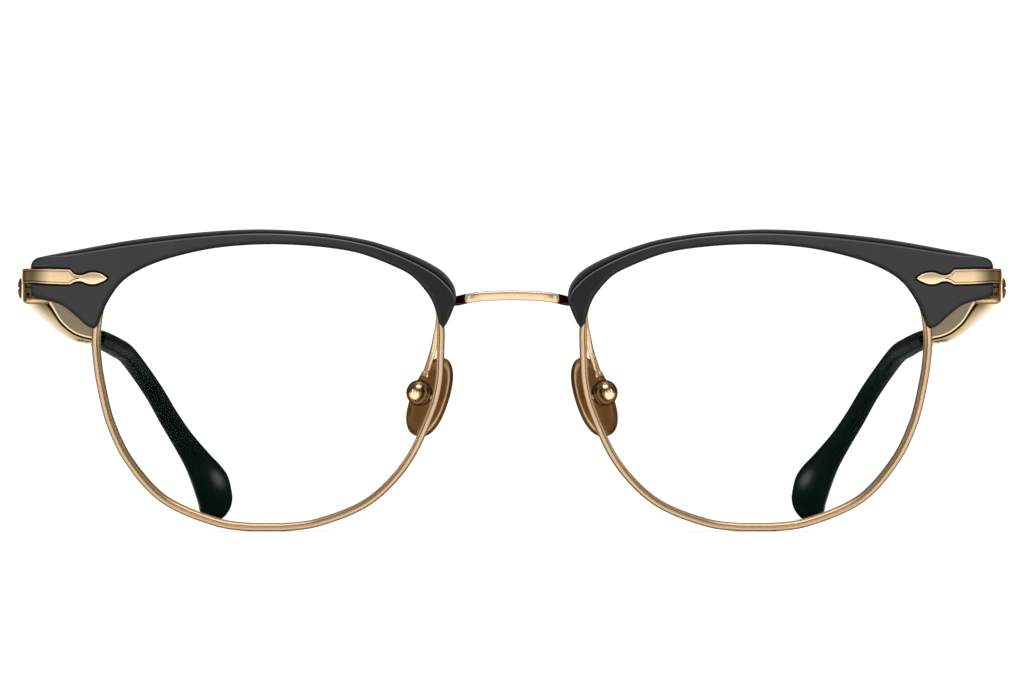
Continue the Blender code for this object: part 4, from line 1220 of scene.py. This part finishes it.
def build_temples():
    """Hinge leaves and screws, temples and tips."""
    bore = rod((HINGE_X, HINGE_Y, 0.0), (0, 0, 1), HINGE_BORE, 30.0, 42.0)
    slot = box((HINGE_X - 3, HINGE_Y - 4, KNUCKLE_LOW - KNUCKLE_GAP),
               (LEAF_INNER_X, HINGE_Y + 4, KNUCKLE_HIGH + KNUCKLE_GAP))
    leaf = knuckle((LEAF_OUTER_X, LEAF_Y[0]), (LEAF_OUTER_X, LEAF_Y[1]), HINGE_LOW, HINGE_HIGH)
    fine_pair("hinge_leaf_front", leaf, SHADED_GOLD, holes=[slot, bore], bevel=0.06)
    fine_screws("hinge_screw", Vector((HINGE_X, HINGE_Y, HINGE_HIGH + SEAT)), (0, 0, 1), (1, 0, 0),
                HINGE_SCREW)
    plate = box(*zip(TEMPLE_LEAF_X, TEMPLE_LEAF_Y, TEMPLE_LEAF_Z))
    fine_pair("hinge_leaf_temple", knuckle(*TEMPLE_ARM, KNUCKLE_LOW, KNUCKLE_HIGH), POLISHED,
              "{side}_temple", joined=[plate], holes=[bore], bevel=0.05)
    fine_pair("temple", temple_shape(), PALE_GOLD, "{side}_temple", slot="pale_gold", angle=14.0)
    fine_pair("temple_tip", tip_shape(), GLOSS, "{side}_temple", slot="gloss_black_acetate",
              angle=50.0)


# ---------------------------------------------------------------- nose pads

def pad_point(up, side, back):
    """A point in the pad's own directions: up its length, across it, out of its back."""
    across = PAD_BACK.cross(PAD_UP)
    return PAD_CENTRE + PAD_UP * up + across * side + PAD_BACK * back


def pad_shape():
    """A dished oval pad with a raised rim round its back."""
    rings = []
    for share, back in PAD_LEVELS:
        length = PAD_HALF_LENGTH * share
        outline = ellipse(length, PAD_HALF_WIDTH * share, PAD_SEGMENTS, PAD_SQUARE)
        rings.append([pad_point(a, b * (1.0 - PAD_TAPER * a / length), back) for a, b in outline])
    return painted_light_loft(rings, lambda i, j: pad_painted_light(*PAD_LEVELS[i], 2 * math.pi * j / PAD_SEGMENTS))


def pad_painted_light(share, back, angle):
    """A painted highlight along the pad's raised rim towards the nose; its sides are painted dark,
    as shade.
    """
    nose = max(0.0, math.sin(angle))
    if back > 0.15 and share < 0.97:
        return -0.6 + 1.6 * nose ** 0.6
    return -0.8 if share > 0.93 else 0.35 * share * (nose - 1)


def pad_box_shape():
    """The ball that holds the pad: flat where it faces the pad, with a fine line round it painted
    dark, and a painted reflection.
    """
    start = math.asin((BOX_FOOT - BOX_CENTRE) / BOX_RADIUS)
    line_at, line_half, line_depth = BOX_LINE
    profile = [(0, BOX_FOOT)]
    for step in range(BOX_STEPS):
        angle = start + (math.pi / 2 - start) * step / BOX_STEPS
        radius = BOX_RADIUS - line_depth * peak(angle, line_at, line_half)
        out, up = on_circle(radius, angle)
        profile.append((out, BOX_CENTRE + up))
    profile.append((0, BOX_CENTRE + BOX_RADIUS))
    verts, faces = turned(profile, pad_point(0, PAD_SIDE, 0), PAD_BACK, BOX_SEGMENTS)
    middle = pad_point(0, PAD_SIDE, BOX_CENTRE)
    painted_light_and_polish = [-1.0 if abs(i // BOX_SEGMENTS - BOX_LINE_RING) < 2
            else ball_painted_reflection((vert - middle).normalized()) for i, vert in enumerate(verts)]
    return verts, faces, painted_light_and_polish


def ball_painted_reflection(facing):
    """The ball's painted reflection: dark nearly all round, with two bright windows."""
    glints = [ramp(facing.dot(window), reach, reach + 0.3 * (1 - reach))
              for window, reach in PAINTED_BALL_WINDOWS]
    return -0.88 + 1.5 * max(glints)


def pad_stem_shape():
    """The flat stem on the pad's back, rounded where the pin goes through."""
    outline = []
    for degrees in range(0, 181, 9):
        up, back = on_circle(STEM_HEAD, math.radians(degrees))
        outline.append((up, PAD_PIVOT + back))
    outline += STEM_FOOT
    return loft([[pad_point(up, side, back) for up, back in outline]
                 for side in (PAD_SIDE - STEM_HALF_WIDTH, PAD_SIDE + STEM_HALF_WIDTH)])


def arm_section(to_end):
    """The arm's round section, with a small collar where it meets the ball."""
    start, end, height = ARM_COLLAR
    radius = ARM_RADIUS + height * ramp(to_end, start, end)
    return ellipse(radius, radius, ARM_SEGMENTS)


def arm_painted_shade(angle):
    """Painted shade along the arm's side away from the nose."""
    return -0.8 * max(0.0, math.cos(angle) - 0.2)


def build_pads():
    """Pad arms, boxes and screws on the front; pads and stems on their own bodies."""
    across = PAD_BACK.cross(PAD_UP)
    middle = PAD_CENTRE + PAD_BACK * PAD_PIVOT + across * PAD_SIDE
    line = catmull(ARM_PATH, 10, False)
    arm = sweep(line, lambda i: arm_section((line[-1] - line[i]).length))
    fine_pair("pad_arm", painted_light_loft(arm, lambda i, j: arm_painted_shade(2 * math.pi * j / ARM_SEGMENTS)),
              ARM_GOLD)
    slot = loft([[pad_point(up, PAD_SIDE + side, back)
                  for up, side in ((-3, -SLOT_HALF_WIDTH), (3, -SLOT_HALF_WIDTH),
                                   (3, SLOT_HALF_WIDTH), (-3, SLOT_HALF_WIDTH))]
                 for back in (SLOT_TOP, 0.5)])
    bore = rod(middle, across, PAD_BORE, -3.0, 3.0)
    sink = rod(middle, across * -1, *PAD_SINK, 3.0)
    fine_pair("pad_box", pad_box_shape(), PAD_BALL, holes=[slot, bore, sink])
    low, high = PAD_PIN_SPAN
    top = high + PAD_HEAD_HEIGHT
    screw = turned(rounded([(0, low), (PAD_PIN, low, 0.06), (PAD_PIN, high), (PAD_HEAD, high, 0.05),
                            (PAD_HEAD - 0.05, high + 0.26, 0.1), (0, top)]), middle, across * -1)
    fine_pair("pad_screw", screw, SCREW_GOLD,
              holes=[slot_cutter(middle, across * -1, PAD_UP, (PAD_HEAD, top), PAD_SLOT)])
    fine_pair("nose_pad", pad_shape(), SATIN_GOLD, "{side}_nose_pad", slot="satin_gold",
              angle=45.0)
    fine_pair("pad_stem", pad_stem_shape(), POLISHED, "{side}_nose_pad", holes=[bore], bevel=0.05)


# ---------------------------------------------------------------- studio

CAMERA_AWAY = 600.0
CAMERA_HEIGHT = 9.46
CAMERA_TILT = 1.72
CAMERA_LENS = 146.8
FLOOR_REACH = 6.0                   # metres, like the lights' places and sizes
WHITE_SKY = 1.18
ROOM_TONES = ((0.0, 0.06), (0.47, 0.14), (0.5, 0.3), (0.54, 0.3), (0.6, 0.1), (1.0, 0.08))
LIGHTS_AIM = (0, 0, 0.02)
LIGHTS = (                          # name, place, width and height, radiance
    ("front", (0.0, -1.15, 0.16), (0.7, 0.3), 0.95),
    ("side", (0.75, -1.0, 0.2), (0.35, 0.3), 1.15),
    ("key", (0.0, -0.5, 0.85), (0.6, 0.2), 4.5),
    ("back", (0.85, 0.8, 0.25), (0.4, 0.7), 1.2),
    ("strip", (0.95, -0.55, 0.3), (0.12, 0.7), 2.5),
    ("top", (0.0, 0.2, 1.0), (0.7, 0.25), 2.2),
)


def build_floor():
    """A plain white floor."""
    material, tree, shader = new_material("white_floor")
    tone = mix_colours(tree, noise(tree, 3.0, 2.0), (0.9, 0.9, 0.9), (0.93, 0.93, 0.93))
    set_inputs(tree, shader, Base_Color=tone, Roughness=0.9)
    mesh = bpy.data.meshes.new("floor")
    corners = [(-1, -1), (1, -1), (1, 1), (-1, 1)]
    mesh.from_pydata([(x * FLOOR_REACH, y * FLOOR_REACH, 0) for x, y in corners], [], [(0, 1, 2, 3)])
    mesh.materials.append(material)
    floor = add_object("floor", mesh)


def add_light(name, place, size, radiance):
    """A soft rectangular light aimed at the glasses."""
    data = bpy.data.lights.new(name, "AREA")
    data.shape = "RECTANGLE"
    data.size, data.size_y = size
    data.energy = radiance * math.pi * size[0] * size[1]
    light = add_object(name, data)
    light.location = place
    aim = Vector(LIGHTS_AIM) - Vector(place)
    light.rotation_euler = aim.to_track_quat("-Z", "Y").to_euler()


def build_lights():
    """The lights; one that stands off the middle has a twin on the other side."""
    for name, (x, y, z), size, radiance in LIGHTS:
        twins = [(f"{name}_left", -x), (f"{name}_right", x)] if x else [(name, x)]
        for title, across in twins:
            add_light(title, (across, y, z), size, radiance)


def build_world():
    """White to look at and to light the floor; a darker room in what the gloss mirrors."""
    world = bpy.data.worlds.new("studio")
    world.use_nodes = True
    bpy.context.scene.world = world
    tree = world.node_tree
    tree.nodes.clear()
    place = add_node(tree, "ShaderNodeTexCoord").outputs["Generated"]
    height = add_node(tree, "ShaderNodeSeparateXYZ", Vector=place).outputs["Z"]
    scale = add_node(tree, "ShaderNodeValToRGB", Fac=map_range(tree, height, -1.0, 1.0))
    tones = scale.color_ramp.elements
    for position, tone in ROOM_TONES:
        stop = tones.new(position)
        stop.color = (tone, tone, tone, 1)
    tones.remove(tones[0])
    tones.remove(tones[-1])
    room = add_node(tree, "ShaderNodeBackground", Color=scale.outputs["Color"], Strength=1.0)
    white = add_node(tree, "ShaderNodeBackground", Color=(1, 1, 1, 1), Strength=WHITE_SKY)
    mirrored = add_node(tree, "ShaderNodeLightPath").outputs["Is Glossy Ray"]
    both = tree.nodes.new("ShaderNodeMixShader")
    tree.links.new(mirrored, both.inputs[0])
    tree.links.new(white.outputs[0], both.inputs[1])
    tree.links.new(room.outputs[0], both.inputs[2])
    add_node(tree, "ShaderNodeOutputWorld", Surface=both.outputs[0])


def build_camera():
    """Level with the lower half of the lenses, in front of them, tipped up a little."""
    data = bpy.data.cameras.new("camera")
    data.sensor_width = 36.0
    data.lens = CAMERA_LENS
    camera = add_object("camera", data)
    camera.location = (0.0, (ORIGIN.y - CAMERA_AWAY) * MM, CAMERA_HEIGHT * MM)
    camera.rotation_euler = (math.radians(90 + CAMERA_TILT), 0, 0)
    bpy.context.scene.camera = camera


build_camera()
build_world()
build_floor()
build_lights()
build_rim()
build_brow()
build_temples()
build_pads()

bpy.context.scene.view_settings.view_transform = "Standard"
